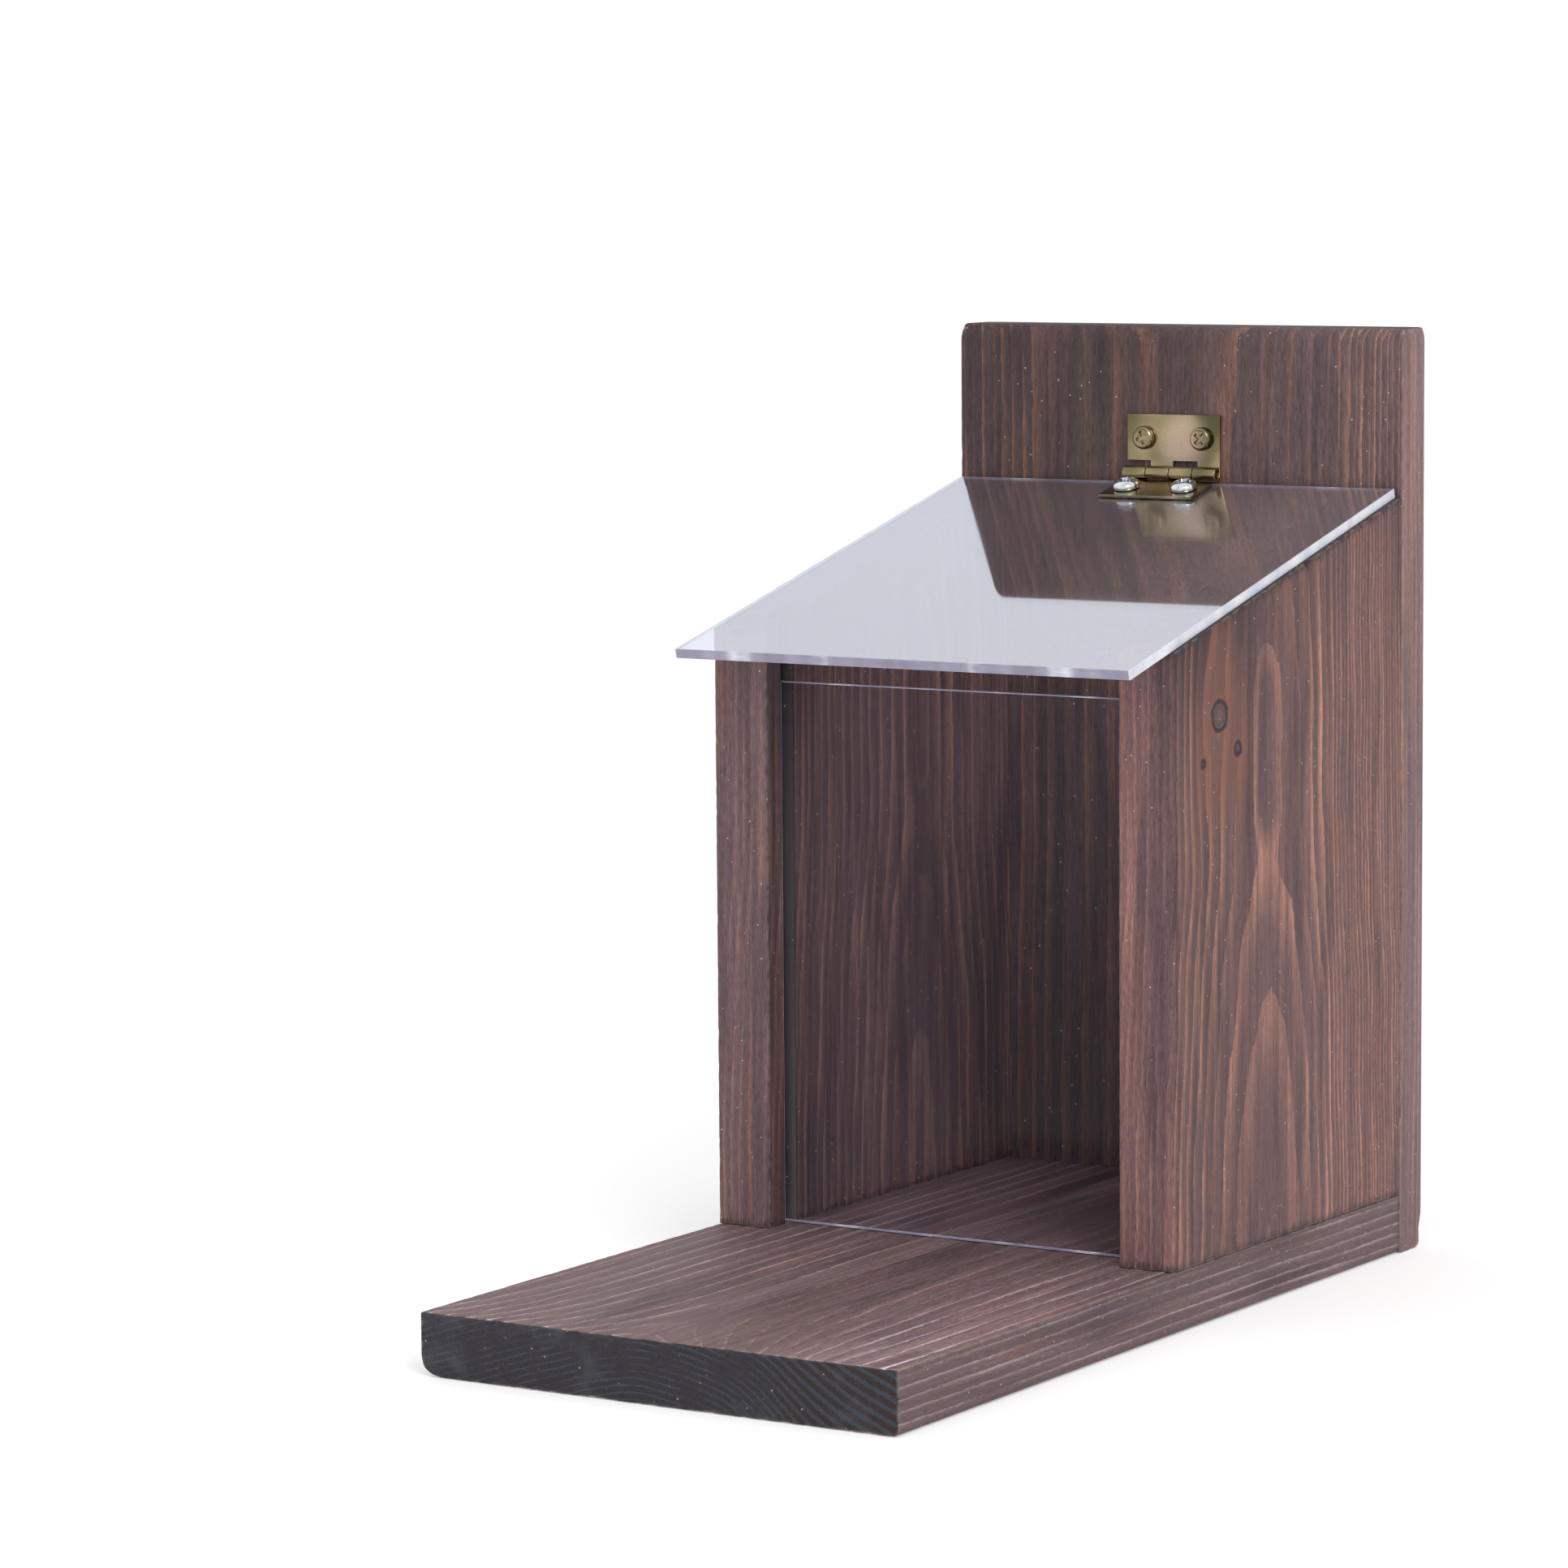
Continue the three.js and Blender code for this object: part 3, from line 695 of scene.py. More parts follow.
def late_wood(tree, pine, phase, ring, late_from, seed):
    """Share of late wood. Each ring turns from early to late wood slowly and ends at once, stronger in some
    rings than in others, coming and going along the board, and weaker where the board says so."""
    late_reach = 1 - late_from
    rise = add(tree, "ValToRGB", {"stops": [
        (0.0, 0.0), (late_from, 0.08), (late_from + 0.38 * late_reach, 0.5),
        (late_from + 0.72 * late_reach, 1.0), (0.97, 0.9), (1.0, 0.6)]}, {"Fac": phase})
    ring_and_seed = add(tree, "CombineXYZ", {"Y": seed}, {"X": ring})
    chance = add(tree, "TexWhiteNoise", {"noise_dimensions": "2D"}, {"Vector": ring_and_seed})
    share = add(tree, "MapRange", {"To Min": 0.3}, {"Value": chance.outputs["Value"]})
    going = add(tree, "MapRange", {"From Min": 0.35, "From Max": 0.62, "To Min": 0.55, "To Max": 1.1},
                {"Value": pine["faint"]})
    for factor in (going, pine["bold"], rise):
        share = add(tree, "Math", {"operation": "MULTIPLY"}, {0: share, 1: factor})
    return share


def long_grain(tree, pine, late_share, to_end, from_start, tones):
    """Colour of the planed faces."""
    wood = add(tree, "Mix", {"data_type": "RGBA", 6: tones["early"], 7: tones["late"]}, {0: late_share})
    streak_share = add(tree, "MapRange", {"From Min": 0.5, "From Max": 0.7, "To Max": 0.55},
                       {"Value": pine["streaks"]})
    patch_share = add(tree, "MapRange", {
        "interpolation_type": "SMOOTHSTEP", "From Min": 0.5, "From Max": 0.68, "To Max": 0.62},
        {"Value": pine["patches"]})

    # A light ridge where a ring ends, partly rubbed and partly a painted highlight, coming and going along
    # the board and lost where a ring lies flat, and a dark groove where the next starts
    ridge_share = add(tree, "MapRange", {
        "interpolation_type": "SMOOTHSTEP", "From Min": 0.3 * tones["ridge_width"],
        "From Max": tones["ridge_width"], "To Min": 1.0, "To Max": 0.0}, {"Value": to_end})
    ridge_level = add(tree, "MapRange", {
        "From Min": 0.4, "From Max": 0.62, "To Min": 0.12 * tones["ridge_share"],
        "To Max": tones["ridge_share"]}, {"Value": pine["faint"]})
    steep = add(tree, "MapRange", {"interpolation_type": "SMOOTHSTEP", "From Min": 0.03, "From Max": 0.09},
                {"Value": pine["pace"]})
    for factor in (ridge_level, steep, pine["bold"]):
        ridge_share = add(tree, "Math", {"operation": "MULTIPLY"}, {0: ridge_share, 1: factor})
    groove_share = add(tree, "MapRange", {
        "interpolation_type": "SMOOTHSTEP", "From Min": 0.1 * tones["groove_width"],
        "From Max": tones["groove_width"], "To Min": tones["groove_share"], "To Max": 0.0},
        {"Value": from_start})
    groove_share = add(tree, "Math", {"operation": "MULTIPLY"}, {0: groove_share, 1: pine["bold"]})

    # Redder streaks, deeper stained patches, ridges and grooves, each over those before it
    for tint, share in ((tones["streak"], streak_share), (PATCH_TONE, patch_share),
                        (tones["ridge"], ridge_share), (tones["groove"], groove_share)):
        wood = add(tree, "Mix", {"data_type": "RGBA", 7: tint}, {0: share, 6: wood})

    # Light and dark fibres and streaks, over the depth of the stain
    level = add(tree, "MapRange", {
        "clamp": False, "From Min": 0.3, "From Max": 0.7, "To Min": 0.58, "To Max": 1.46},
        {"Value": pine["fibres"]})
    streak_level = add(tree, "MapRange", {"From Min": 0.32, "From Max": 0.65, "To Min": 0.84, "To Max": 1.16},
                       {"Value": pine["faint"]})
    for factor in (pine["tone"], streak_level):
        level = add(tree, "Math", {"operation": "MULTIPLY"}, {0: level, 1: factor})
    wood = add(tree, "VectorMath", {"operation": "SCALE"}, {0: wood, "Scale": level})

    # Stain crept up to 4 mm along the fibres from a cut end and dried nearly black
    crept = add(tree, "Math", {"operation": "MULTIPLY_ADD", 1: -11.0},
                {0: pine["ragged"], 2: pine["from_end"]})
    crept_share = add(tree, "MapRange", {
        "interpolation_type": "SMOOTHSTEP", "From Min": -5.4, "From Max": -2.8, "To Min": 0.72,
        "To Max": 0.0}, {"Value": crept})
    return add(tree, "Mix", {"data_type": "RGBA", 7: CREPT_TONE}, {0: crept_share, 6: wood})


def cut_end(tree, mm_space, phase, to_end, bold_from):
    """Colour and fibres of a cut end: fine blue grey lines, from one side on bold bands of slate and red
    brown, and pale rubbed patches."""
    fibres = add(tree, "TexNoise", {"Scale": 1.5, "Detail": 5.0, "Roughness": 0.75}, {"Vector": mm_space})
    fading = add(tree, "TexNoise", {"Scale": 0.12, "Detail": 2.0}, {"Vector": mm_space})
    line_level = add(tree, "MapRange", {"From Min": 0.42, "From Max": 0.6, "To Min": 0.05, "To Max": 0.5},
                     {"Value": fading})
    on_line = add(tree, "MapRange", {
        "interpolation_type": "SMOOTHSTEP", "From Min": 0.2, "From Max": 0.8, "To Min": 1.0, "To Max": 0.0},
        {"Value": to_end})
    line_share = add(tree, "Math", {"operation": "MULTIPLY"}, {0: on_line, 1: line_level})
    lined = add(tree, "Mix", {"data_type": "RGBA", 6: END_TONES["early"], 7: END_TONES["line"]},
                {0: line_share})
    banded = add(tree, "ValToRGB", {"stops": [
        (0.0, END_TONES["early"]), (0.08, END_TONES["brown"]), (0.5, END_TONES["brown"]),
        (0.6, END_TONES["slate"]), (0.95, END_TONES["slate"]), (1.0, END_TONES["early"])]}, {"Fac": phase})
    apart = add(tree, "SeparateXYZ", {}, {0: mm_space})
    boldness = add(tree, "MapRange", {"From Min": bold_from, "From Max": bold_from + 10},
                   {"Value": apart.outputs["X"]})
    wood = add(tree, "Mix", {"data_type": "RGBA"}, {0: boldness, 6: lined, 7: banded})
    level = add(tree, "MapRange", {
        "clamp": False, "From Min": 0.3, "From Max": 0.7, "To Min": 0.62, "To Max": 1.4}, {"Value": fibres})
    wood = add(tree, "VectorMath", {"operation": "SCALE"}, {0: wood, "Scale": level})
    rubbed = add(tree, "TexNoise", {"Scale": 0.05, "Detail": 5.0, "Roughness": 0.65}, {"Vector": mm_space})
    rubbed_share = add(tree, "MapRange", {"From Min": 0.54, "From Max": 0.72, "To Max": 0.34},
                       {"Value": rubbed})
    wood = add(tree, "Mix", {"data_type": "RGBA", 7: RUBBED_END_TONE}, {0: rubbed_share, 6: wood})
    return wood, fibres


def speckled(tree, mm_space, wood):
    """Specks of dust and lifted fibre, really 0.2 mm across, drawn at 0.5 mm so that they show."""
    cells = add(tree, "TexVoronoi", {"Scale": 0.45}, {"Vector": mm_space})
    picked = add(tree, "TexWhiteNoise", {"noise_dimensions": "3D"}, {"Vector": cells.outputs["Position"]})
    size = add(tree, "MapRange", {"From Min": 0.7, "From Max": 0.95, "To Max": 0.14},
               {"Value": picked.outputs["Value"]})
    speck = add(tree, "Math", {"operation": "LESS_THAN"}, {0: cells.outputs["Distance"], 1: size})
    speck_share = add(tree, "Math", {"operation": "MULTIPLY", 1: 0.7}, {0: speck})
    return add(tree, "Mix", {"data_type": "RGBA", 7: SPECK_TONE}, {0: speck_share, 6: wood})


def stained_pine(name, along, tones, seed, knots=(), bold_from=200):
    """Planed pine under a thin dark brown wood stain. The soft early wood drinks the stain and turns a dull
    mauve brown, the hard late wood stays a warmer orange brown, stands a little proud and is light along its
    end, partly rubbed and partly a painted highlight. Cut ends drink so much that they turn blue black."""
    material, tree, mm_space = measured_material(name)
    facing_way = add(tree, "SeparateXYZ", {}, {0: add(tree, "TexCoord").outputs["Normal"]})
    end_on = add(tree, "Math", {"operation": "ABSOLUTE"}, {0: facing_way.outputs[along]})
    end_share = add(tree, "MapRange", {"interpolation_type": "SMOOTHSTEP", "From Min": 0.9, "From Max": 0.99},
                    {"Value": end_on})
    pine = pine_patterns(tree, mm_space, along, seed)
    phase, ring, to_end, from_start = ring_place(tree, pine, tones["feather"], end_share)
    late_share = late_wood(tree, pine, phase, ring, tones["late_from"], seed)
    wood = long_grain(tree, pine, late_share, to_end, from_start, tones)
    if knots:
        wood = add_knots(tree, mm_space, wood, late_share, knots)
    end_wood, cut_fibres = cut_end(tree, mm_space, phase, to_end, bold_from)
    wood = add(tree, "Mix", {"data_type": "RGBA"}, {0: end_share, 6: wood, 7: end_wood})
    worn_share = add(tree, "Math", {"operation": "MULTIPLY", 1: 0.4}, {0: pine["worn"]})
    wood = add(tree, "Mix", {"data_type": "RGBA", 7: RUBBED_ARRIS_TONE}, {0: worn_share, 6: wood})
    wood = speckled(tree, mm_space, wood)

    # Raised late wood, fibres and rough end grain
    relief = add(tree, "Math", {"operation": "MULTIPLY_ADD", 1: 0.5}, {0: late_share, 2: pine["fibres"]})
    bump = add(tree, "Bump", {"Strength": 0.5, "Distance": 0.28 * MM}, {"Height": relief})
    end_bump = add(tree, "Bump", {"Distance": 0.4 * MM},
                   {"Strength": end_share, "Height": cut_fibres, "Normal": bump})
    sheen = add(tree, "MapRange", {"From Min": 0.3, "From Max": 0.7, "To Min": 0.5, "To Max": 0.7},
                {"Value": pine["fibres"]})
    surface = add(tree, "BsdfPrincipled", {"IOR": 1.45, "Specular IOR Level": 0.3},
                  {"Base Color": wood, "Roughness": sheen, "Normal": end_bump})
    add(tree, "OutputMaterial", {}, {"Surface": surface})
    return material


def beyond_rim(tree, mm_space, knots, margin, squeeze):
    """Distance in millimetres beyond the rim of the nearest knot, squeezed along the grain."""
    flat_place = add(tree, "VectorMath", {"operation": "MULTIPLY", 1: (0, 1, squeeze)}, {0: mm_space})
    nearest = None
    for knot_y, knot_z, knot_radius in knots:
        heart = (0, knot_y, squeeze * knot_z)
        gap = add(tree, "VectorMath", {"operation": "DISTANCE", 1: heart}, {0: flat_place})
        beyond = add(tree, "Math", {"operation": "SUBTRACT", 1: knot_radius + margin},
                     {0: gap.outputs["Value"]})
        nearest = add(tree, "Math", {"operation": "MINIMUM"}, {0: nearest, 1: beyond}) if nearest else beyond
    return nearest


def add_knots(tree, mm_space, wood, late_share, knots):
    """Knots in a side board: a brown core and a blue black outline about 1 mm wide, in resinous wood that
    stays a warm orange brown, most of all in the late wood."""
    nearest = beyond_rim(tree, mm_space, knots, 0, 0.3)
    warm = add(tree, "MapRange", {
        "interpolation_type": "SMOOTHSTEP", "From Min": 0.0, "From Max": 9.0, "To Min": 0.85, "To Max": 0.0},
        {"Value": nearest})
    held_back = add(tree, "MapRange", {"From Min": 0.0, "From Max": 0.5, "To Min": 0.4, "To Max": 1.0},
                    {"Value": late_share})
    warm_share = add(tree, "Math", {"operation": "MULTIPLY"}, {0: warm, 1: held_back})
    wood = add(tree, "Mix", {"data_type": "RGBA", 7: RESIN_TONE}, {0: warm_share, 6: wood})
    nearest = beyond_rim(tree, mm_space, knots, 0.8, 1)
    wobble = add(tree, "TexNoise", {"Scale": 0.45, "Detail": 3.0}, {"Vector": mm_space})
    from_rim = add(tree, "Math", {"operation": "MULTIPLY_ADD", 1: 1.6}, {0: wobble, 2: nearest})
    inside = add(tree, "MapRange", {"From Min": -6.0, "From Max": 6.0}, {"Value": from_rim})
    knot_wood = add(tree, "ValToRGB", {"stops": [
        (0.0, "#5E4843"), (0.2, "#70544D"), (0.3, "#584546"), (0.4, "#5E4A49"), (0.44, "#2F2B33"),
        (0.52, "#37323A"), (0.57, "#7F5446"), (1.0, RESIN_TONE)]}, {"Fac": inside})
    knot_share = add(tree, "MapRange", {
        "interpolation_type": "SMOOTHSTEP", "From Min": 0.4, "From Max": 3.0, "To Min": 1.0, "To Max": 0.0},
        {"Value": from_rim})
    return add(tree, "Mix", {"data_type": "RGBA"}, {0: knot_share, 6: wood, 7: knot_wood})


def clear_acrylic(name, node, tilt, other_axis, arris, ior, mirror):
    """Cast acrylic sheet, 3 mm thick: polished faces that mirror the surroundings at a flat angle and are
    almost unseen head on, a faint haze of fine scratches, and sawn edges in a cool white, partly their
    frosting and partly painted light for their glow, lighter at the sides than at the front."""
    material, tree = new_material(name)
    pivot = HINGE_SPOT * MM
    low, high = level_box(node, tilt, pivot)
    place = add(tree, "TexCoord")
    level = add(tree, "VectorRotate", {"rotation_type": "X_AXIS", "Angle": -tilt, "Center": pivot},
                {"Vector": place.outputs["Object"]})
    # Distance in from the sheet's edges, in its own plane
    from_low = add(tree, "VectorMath", {"operation": "SUBTRACT", 1: low}, {0: level})
    from_high = add(tree, "VectorMath", {"operation": "SUBTRACT", 0: high}, {1: level})
    inward = add(tree, "VectorMath", {"operation": "MINIMUM"}, {0: from_low, 1: from_high})
    apart = add(tree, "SeparateXYZ", {}, {0: inward})
    side_edge, other_edge = [
        add(tree, "Math", {"operation": "LESS_THAN", 1: 1.1 * arris * MM}, {0: apart.outputs[axis]})
        for axis in ("X", other_axis)]
    on_edge = add(tree, "Math", {"operation": "MAXIMUM"}, {0: side_edge, 1: other_edge})

    surface = add(tree, "BsdfPrincipled", {
        "Base Color": "#F7F9FF", "Roughness": 0.012, "IOR": ior, "Transmission Weight": 1.0})
    if mirror:
        # Strained by its bolts and handled round the hinge, where the mirrored image blurs
        from_hinge = add(tree, "VectorMath", {"operation": "DISTANCE", 1: pivot},
                         {0: place.outputs["Object"]})
        blur = add(tree, "MapRange", {"From Min": 0.03, "From Max": 0.11, "To Min": 0.17, "To Max": 0.03},
                   {"Value": from_hinge.outputs["Value"]})
        gleam = add(tree, "BsdfGlossy", {"Color": "#E1E8F7"}, {"Roughness": blur})
        angle = add(tree, "LayerWeight", {"Blend": 0.5})
        gleam_share = add(tree, "MapRange", {
            "interpolation_type": "SMOOTHSTEP", "From Min": 0.35, "From Max": 0.8, "To Max": 0.6},
            {"Value": angle.outputs["Facing"]})
        surface = add(tree, "MixShader", {}, {0: gleam_share, 1: surface, 2: gleam})
    scratches = add(tree, "TexNoise", {"Scale": 900, "Detail": 3.0}, {"Vector": place.outputs["Object"]})
    haze_share = add(tree, "MapRange", {
        "From Min": 0.3, "From Max": 0.7, "To Min": 0.2 * mirror, "To Max": mirror}, {"Value": scratches})
    # Most scratched at the right, where it is held when it is wiped
    apart = add(tree, "SeparateXYZ", {}, {0: place.outputs["Object"]})
    wiped = add(tree, "MapRange", {"From Min": 0.0, "From Max": 0.06, "To Min": 0.9, "To Max": 2.4},
                {"Value": apart.outputs["X"]})
    haze_share = add(tree, "Math", {"operation": "MULTIPLY"}, {0: haze_share, 1: wiped})
    haze = add(tree, "BsdfDiffuse", {"Color": "#F2D3CB"})
    surface = add(tree, "MixShader", {}, {0: haze_share, 1: surface, 2: haze})

    # Soft light and dark along the sawn edges, about 15 mm apart, where the saw polished them unevenly
    uneven = add(tree, "TexNoise", {"Scale": 65, "Detail": 2.0}, {"Vector": inward})
    # The edges' colours are partly painted light: near white on the side edges, darker lavender on the front
    # edges
    front_edge_painted_light = add(tree, "ValToRGB", {"stops": [(0.35, "#918DA5"), (0.55, "#B1ADC3"), (0.66, "#EDF0FA")]},
                     {"Fac": uneven})
    side_edge_painted_light = add(tree, "ValToRGB", {"stops": [(0.35, "#D8DDEE"), (0.5, "#E9EDF7"), (0.62, "#FAFBFE")]},
                    {"Fac": uneven})
    edge_painted_light = add(tree, "Mix", {"data_type": "RGBA"}, {0: side_edge, 6: front_edge_painted_light, 7: side_edge_painted_light})
    sawn = add(tree, "BsdfPrincipled", {"Roughness": 0.25, "IOR": 1.49, "Transmission Weight": 0.1},
               {"Base Color": edge_painted_light})
    surface = add(tree, "MixShader", {}, {0: on_edge, 1: surface, 2: sawn})
    # Daylight passes through to the compartment
    rays = add(tree, "LightPath")
    daylight = add(tree, "BsdfTransparent", {"Color": "#EEF0F4"})
    surface = add(tree, "MixShader", {}, {0: rays.outputs["Is Shadow Ray"], 1: surface, 2: daylight})
    add(tree, "OutputMaterial", {}, {"Surface": surface})
    return material


def plated_steel(tree, plating, cloud, smooth, rough, bump_height):
    """Surface of plated steel, rougher and higher where its cloud is light."""
    roughness = add(tree, "MapRange", {"From Min": 0.3, "From Max": 0.7, "To Min": smooth, "To Max": rough},
                    {"Value": cloud})
    bump = add(tree, "Bump", {"Strength": 0.12, "Distance": bump_height * MM}, {"Height": cloud})
    surface = add(tree, "BsdfPrincipled", {"Metallic": 1.0},
                  {"Base Color": plating, "Roughness": roughness, "Normal": bump})
    add(tree, "OutputMaterial", {}, {"Surface": surface})


def yellow_zinc(name):
    """Pressed steel, zinc plated and yellow passivated: a thin film that shifts from olive gold to pinkish
    tan over 10 to 20 mm, pinkest in the middle of the wall leaf, with a faint grit of about 0.5 mm."""
    material, tree, mm_space = measured_material(name)
    film = add(tree, "TexNoise", {"Scale": 0.05, "Detail": 1.5, "Roughness": 0.4}, {"Vector": mm_space})
    plating = add(tree, "ValToRGB", {"stops": [
        (0.3, "#5E5A40"), (0.39, "#7D7556"), (0.46, "#988A6A"), (0.55, "#B39C86"), (0.64, "#8C8066"),
        (0.75, "#6A6446")]}, {"Fac": film})
    pinkest = HINGE_SPOT + Vector((3, 0, 10))
    gap = add(tree, "VectorMath", {"operation": "DISTANCE", 1: pinkest}, {0: mm_space})
    pink_share = add(tree, "MapRange", {
        "interpolation_type": "SMOOTHSTEP", "From Min": 2.0, "From Max": 13.0, "To Min": 0.6, "To Max": 0.0},
        {"Value": gap.outputs["Value"]})
    plating = add(tree, "Mix", {"data_type": "RGBA", 7: "#DABEAB"}, {0: pink_share, 6: plating})
    grit = add(tree, "TexNoise", {"Scale": 1.8, "Detail": 3.0, "Roughness": 0.6}, {"Vector": mm_space})
    grit_level = add(tree, "MapRange", {"From Min": 0.35, "From Max": 0.65, "To Min": 0.9, "To Max": 1.05},
                     {"Value": grit})
    plating = add(tree, "VectorMath", {"operation": "SCALE"}, {0: plating, "Scale": grit_level})
    plated_steel(tree, plating, grit, smooth=0.15, rough=0.27, bump_height=0.04)
    return material


def bright_zinc(name):
    """Cold headed steel with bright zinc plating: cool silver, almost a mirror, cloudy in patches of about
    2 mm."""
    material, tree, mm_space = measured_material(name)
    cloud = add(tree, "TexNoise", {"Scale": 0.6, "Detail": 4.0, "Roughness": 0.6}, {"Vector": mm_space})
    plating = add(tree, "ValToRGB", {"stops": [(0.35, "#BFC5CE"), (0.65, "#E4E8EE")]}, {"Fac": cloud})
    plated_steel(tree, plating, cloud, smooth=0.07, rough=0.17, bump_height=0.05)
    return material


YELLOW_ZINC = yellow_zinc("yellow passivated zinc, pressed steel")
BRIGHT_ZINC = bright_zinc("bright zinc, headed steel")
TRAY_PINE = stained_pine("stained pine, tray", 1, TRAY_TONES, 3.1, bold_from=38)
BACK_PINE = stained_pine("stained pine, back", 2, BACK_TONES, 7.4)
RIGHT_PINE = stained_pine("stained pine, right side", 2, SIDE_TONES, 1.7, RIGHT_KNOTS)
LEFT_PINE = stained_pine("stained pine, left side", 2, LEFT_TONES, 5.2)


# Boards


def screw_cutter(radius, length, head_radius, sink):
    """The countersunk hole for a board screw whose head is sunk below the local zero."""
    narrow = radius + GAP
    wide = head_radius + GAP
    seat = -sink - 2 * GAP
    rows = [(-sink - length - GAP, narrow), (seat - (wide - narrow), narrow), (seat, wide), (OVERRUN, wide)]
    return turned(rows, HOLE_FACETS)


def spot_of(node):
    """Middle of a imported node, in millimetres."""
    low, high = in_mm(node)
    return (low + high) / 2


def facing(direction, spin=0):
    """Turns local Z towards a direction, after a spin about it."""
    turn = Vector((0, 0, 1)).rotation_difference(Vector(direction)).to_matrix().to_4x4()
    return turn @ Matrix.Rotation(spin, 4, "Z")


def main_axis(direction):
    """Number of the axis that a direction lies along."""
    return [abs(share) > 0.5 for share in direction].index(True)


def hole_at(node, direction, surface, radius=BOARD_SCREW["crest"], length=BOARD_SCREW["length"],
            head_radius=BOARD_SCREW["head_radius"], sink=BOARD_SCREW_SINK):
    """A screw hole on a packed screw's axis, opening at a surface in the given direction."""
    middle = spot_of(node)
    middle[main_axis(direction)] = surface
    hole = screw_cutter(radius, length, head_radius, sink)
    return placed(hole, Matrix.Translation(middle) @ facing(direction))


def tray_board():
    """The base board, its left foot edge worn round and its screws let in from below."""
    low, high = BASE_LOW, BASE_HIGH
    mesh = gridded_block(
        stations(low.x, high.x, BASE_LEFT_ROUND[0], BASE_RIGHT_ROUND[0]),
        stations(low.y, high.y, BOARD_EASE, BOARD_EASE, step=2.4),
        stations(low.z, high.z, BASE_LEFT_ROUND[1], BOARD_EASE, step=1.2))
    points = points_of(mesh)
    for x, inward, foot_round in ((low.x, 1, BASE_LEFT_ROUND), (high.x, -1, BASE_RIGHT_ROUND)):
        round_edge(points, (0, 2), (x, low.z), (inward, 1), foot_round)
        round_edge(points, (0, 2), (x, high.z), (inward, -1), EASE)
    ease_rest(points, low, high, (1, 2), SAWN_EASE)
    move_to(mesh, points)
    wear_edges(mesh, low, high, seed=21, depth=0.5)
    raise_grain(mesh, tray_years, along=1, height=0.22)
    mesh = carved(mesh, joined([hole_at(node, DOWNWARD, low.z) for node in BASE_SCREWS]))
    fields = {"tone": tray_tone, "bold": tray_bold, "from_end": tray_from_end}
    finish_board("base_board", mesh, TRAY_PINE, tray_years, fields, low, high)


def hanger_bed():
    """Bed for the keyhole plate and the pocket behind its slot, from the plate's own place."""
    low, high = in_mm("hanger_plate")
    rear = BACK_HIGH.y
    bed = block((low.x - GAP, low.y - GAP, low.z - GAP), (high.x + GAP, rear + OVERRUN, high.z + GAP))
    upright = [edge for edge in bed.edges if abs(edge.verts[0].co.y - edge.verts[1].co.y) > 1]
    bmesh.ops.bevel(bed, geom=upright, offset=BED_CORNER, segments=6, profile=0.5, affect="EDGES")
    entry = (low.z + high.z) / 2 - ENTRY_DROP
    pocket = block(
        (-POCKET_HALF_WIDTH, rear - POCKET_DEPTH, entry - POCKET_HALF_WIDTH),
        (POCKET_HALF_WIDTH, rear - POCKET_START, entry + SLOT_RISE + SLOT_RADIUS + OVERRUN))
    return bed, pocket


def back_upright():
    """The tall back board, rounded at its foot and top, with screws and a keyhole plate let in behind."""
    low, high = BACK_LOW, BACK_HIGH
    mesh = gridded_block(
        stations(low.x, high.x, BACK_SIDE_ROUND[0], BACK_SIDE_ROUND[0]),
        stations(low.y, high.y, BACK_TOP_FRONT_ROUND[0], BACK_FOOT_ROUND[0], step=2.4),
        stations(low.z, high.z, BACK_FOOT_ROUND[1], BACK_TOP_FRONT_ROUND[1], step=2.6))
    points = points_of(mesh)
    for x, inward in ((low.x, 1), (high.x, -1)):
        round_edge(points, (0, 2), (x, high.z), (inward, -1), BACK_TOP_CORNER)
        round_edge(points, (0, 1), (x, high.y), (inward, -1), BACK_SIDE_ROUND)
        round_edge(points, (0, 1), (x, low.y), (inward, 1), EASE)
    round_edge(points, (1, 2), (high.y, low.z), (-1, 1), BACK_FOOT_ROUND)
    round_edge(points, (1, 2), (low.y, low.z), (1, 1), EASE)
    round_edge(points, (1, 2), (low.y, high.z), (1, -1), BACK_TOP_FRONT_ROUND)
    round_edge(points, (1, 2), (high.y, high.z), (-1, -1), BACK_TOP_REAR_ROUND)
    move_to(mesh, points)
    wear_edges(mesh, low, high, seed=22, depth=0.35)
    raise_grain(mesh, back_years, along=2, height=0.1)
    cutters = [hole_at(node, REARWARD, high.y) for node in BACK_SCREWS + TRAY_SCREWS]
    cutters += [hole_at(node, REARWARD, high.y - PLATE_THICKNESS, **PLATE_PILOT) for node in PLATE_SCREWS]
    for side in SIDES:
        pilot = turned([(-WALL_PILOT_DEPTH, WALL_PILOT_RADIUS), (OVERRUN, WALL_PILOT_RADIUS)], HOLE_FACETS)
        middle = spot_of(f"wall_screw_{side}")
        middle.y = low.y
        cutters.append(placed(pilot, Matrix.Translation(middle) @ Matrix.Rotation(math.pi / 2, 4, "X")))
    mesh = carved(mesh, joined(cutters))
    for cutter in hanger_bed():
        mesh = carved(mesh, cutter)
    fields = {"tone": back_tone, "bold": back_bold, "from_end": back_from_end}
    finish_board("back_board", mesh, BACK_PINE, back_years, fields, low, high)


def roof_height(y, low):
    """Height of a side board's slanting top at a depth."""
    rise = (SIDE_REAR_HEIGHT - SIDE_FRONT_HEIGHT) / SIDE_DEPTH
    return low.z + SIDE_FRONT_HEIGHT + LID_SEAT_RISE + rise * (y - low.y)


def slanted(points, low, way):
    """Points of a board with a level top moved to the slanting top, or back again with the way -1."""
    share = (roof_height(points[:, 1], low) - low.z) / SIDE_REAR_HEIGHT
    moved = points.copy()
    moved[:, 2] = low.z + (points[:, 2] - low.z) * share ** way
    return moved


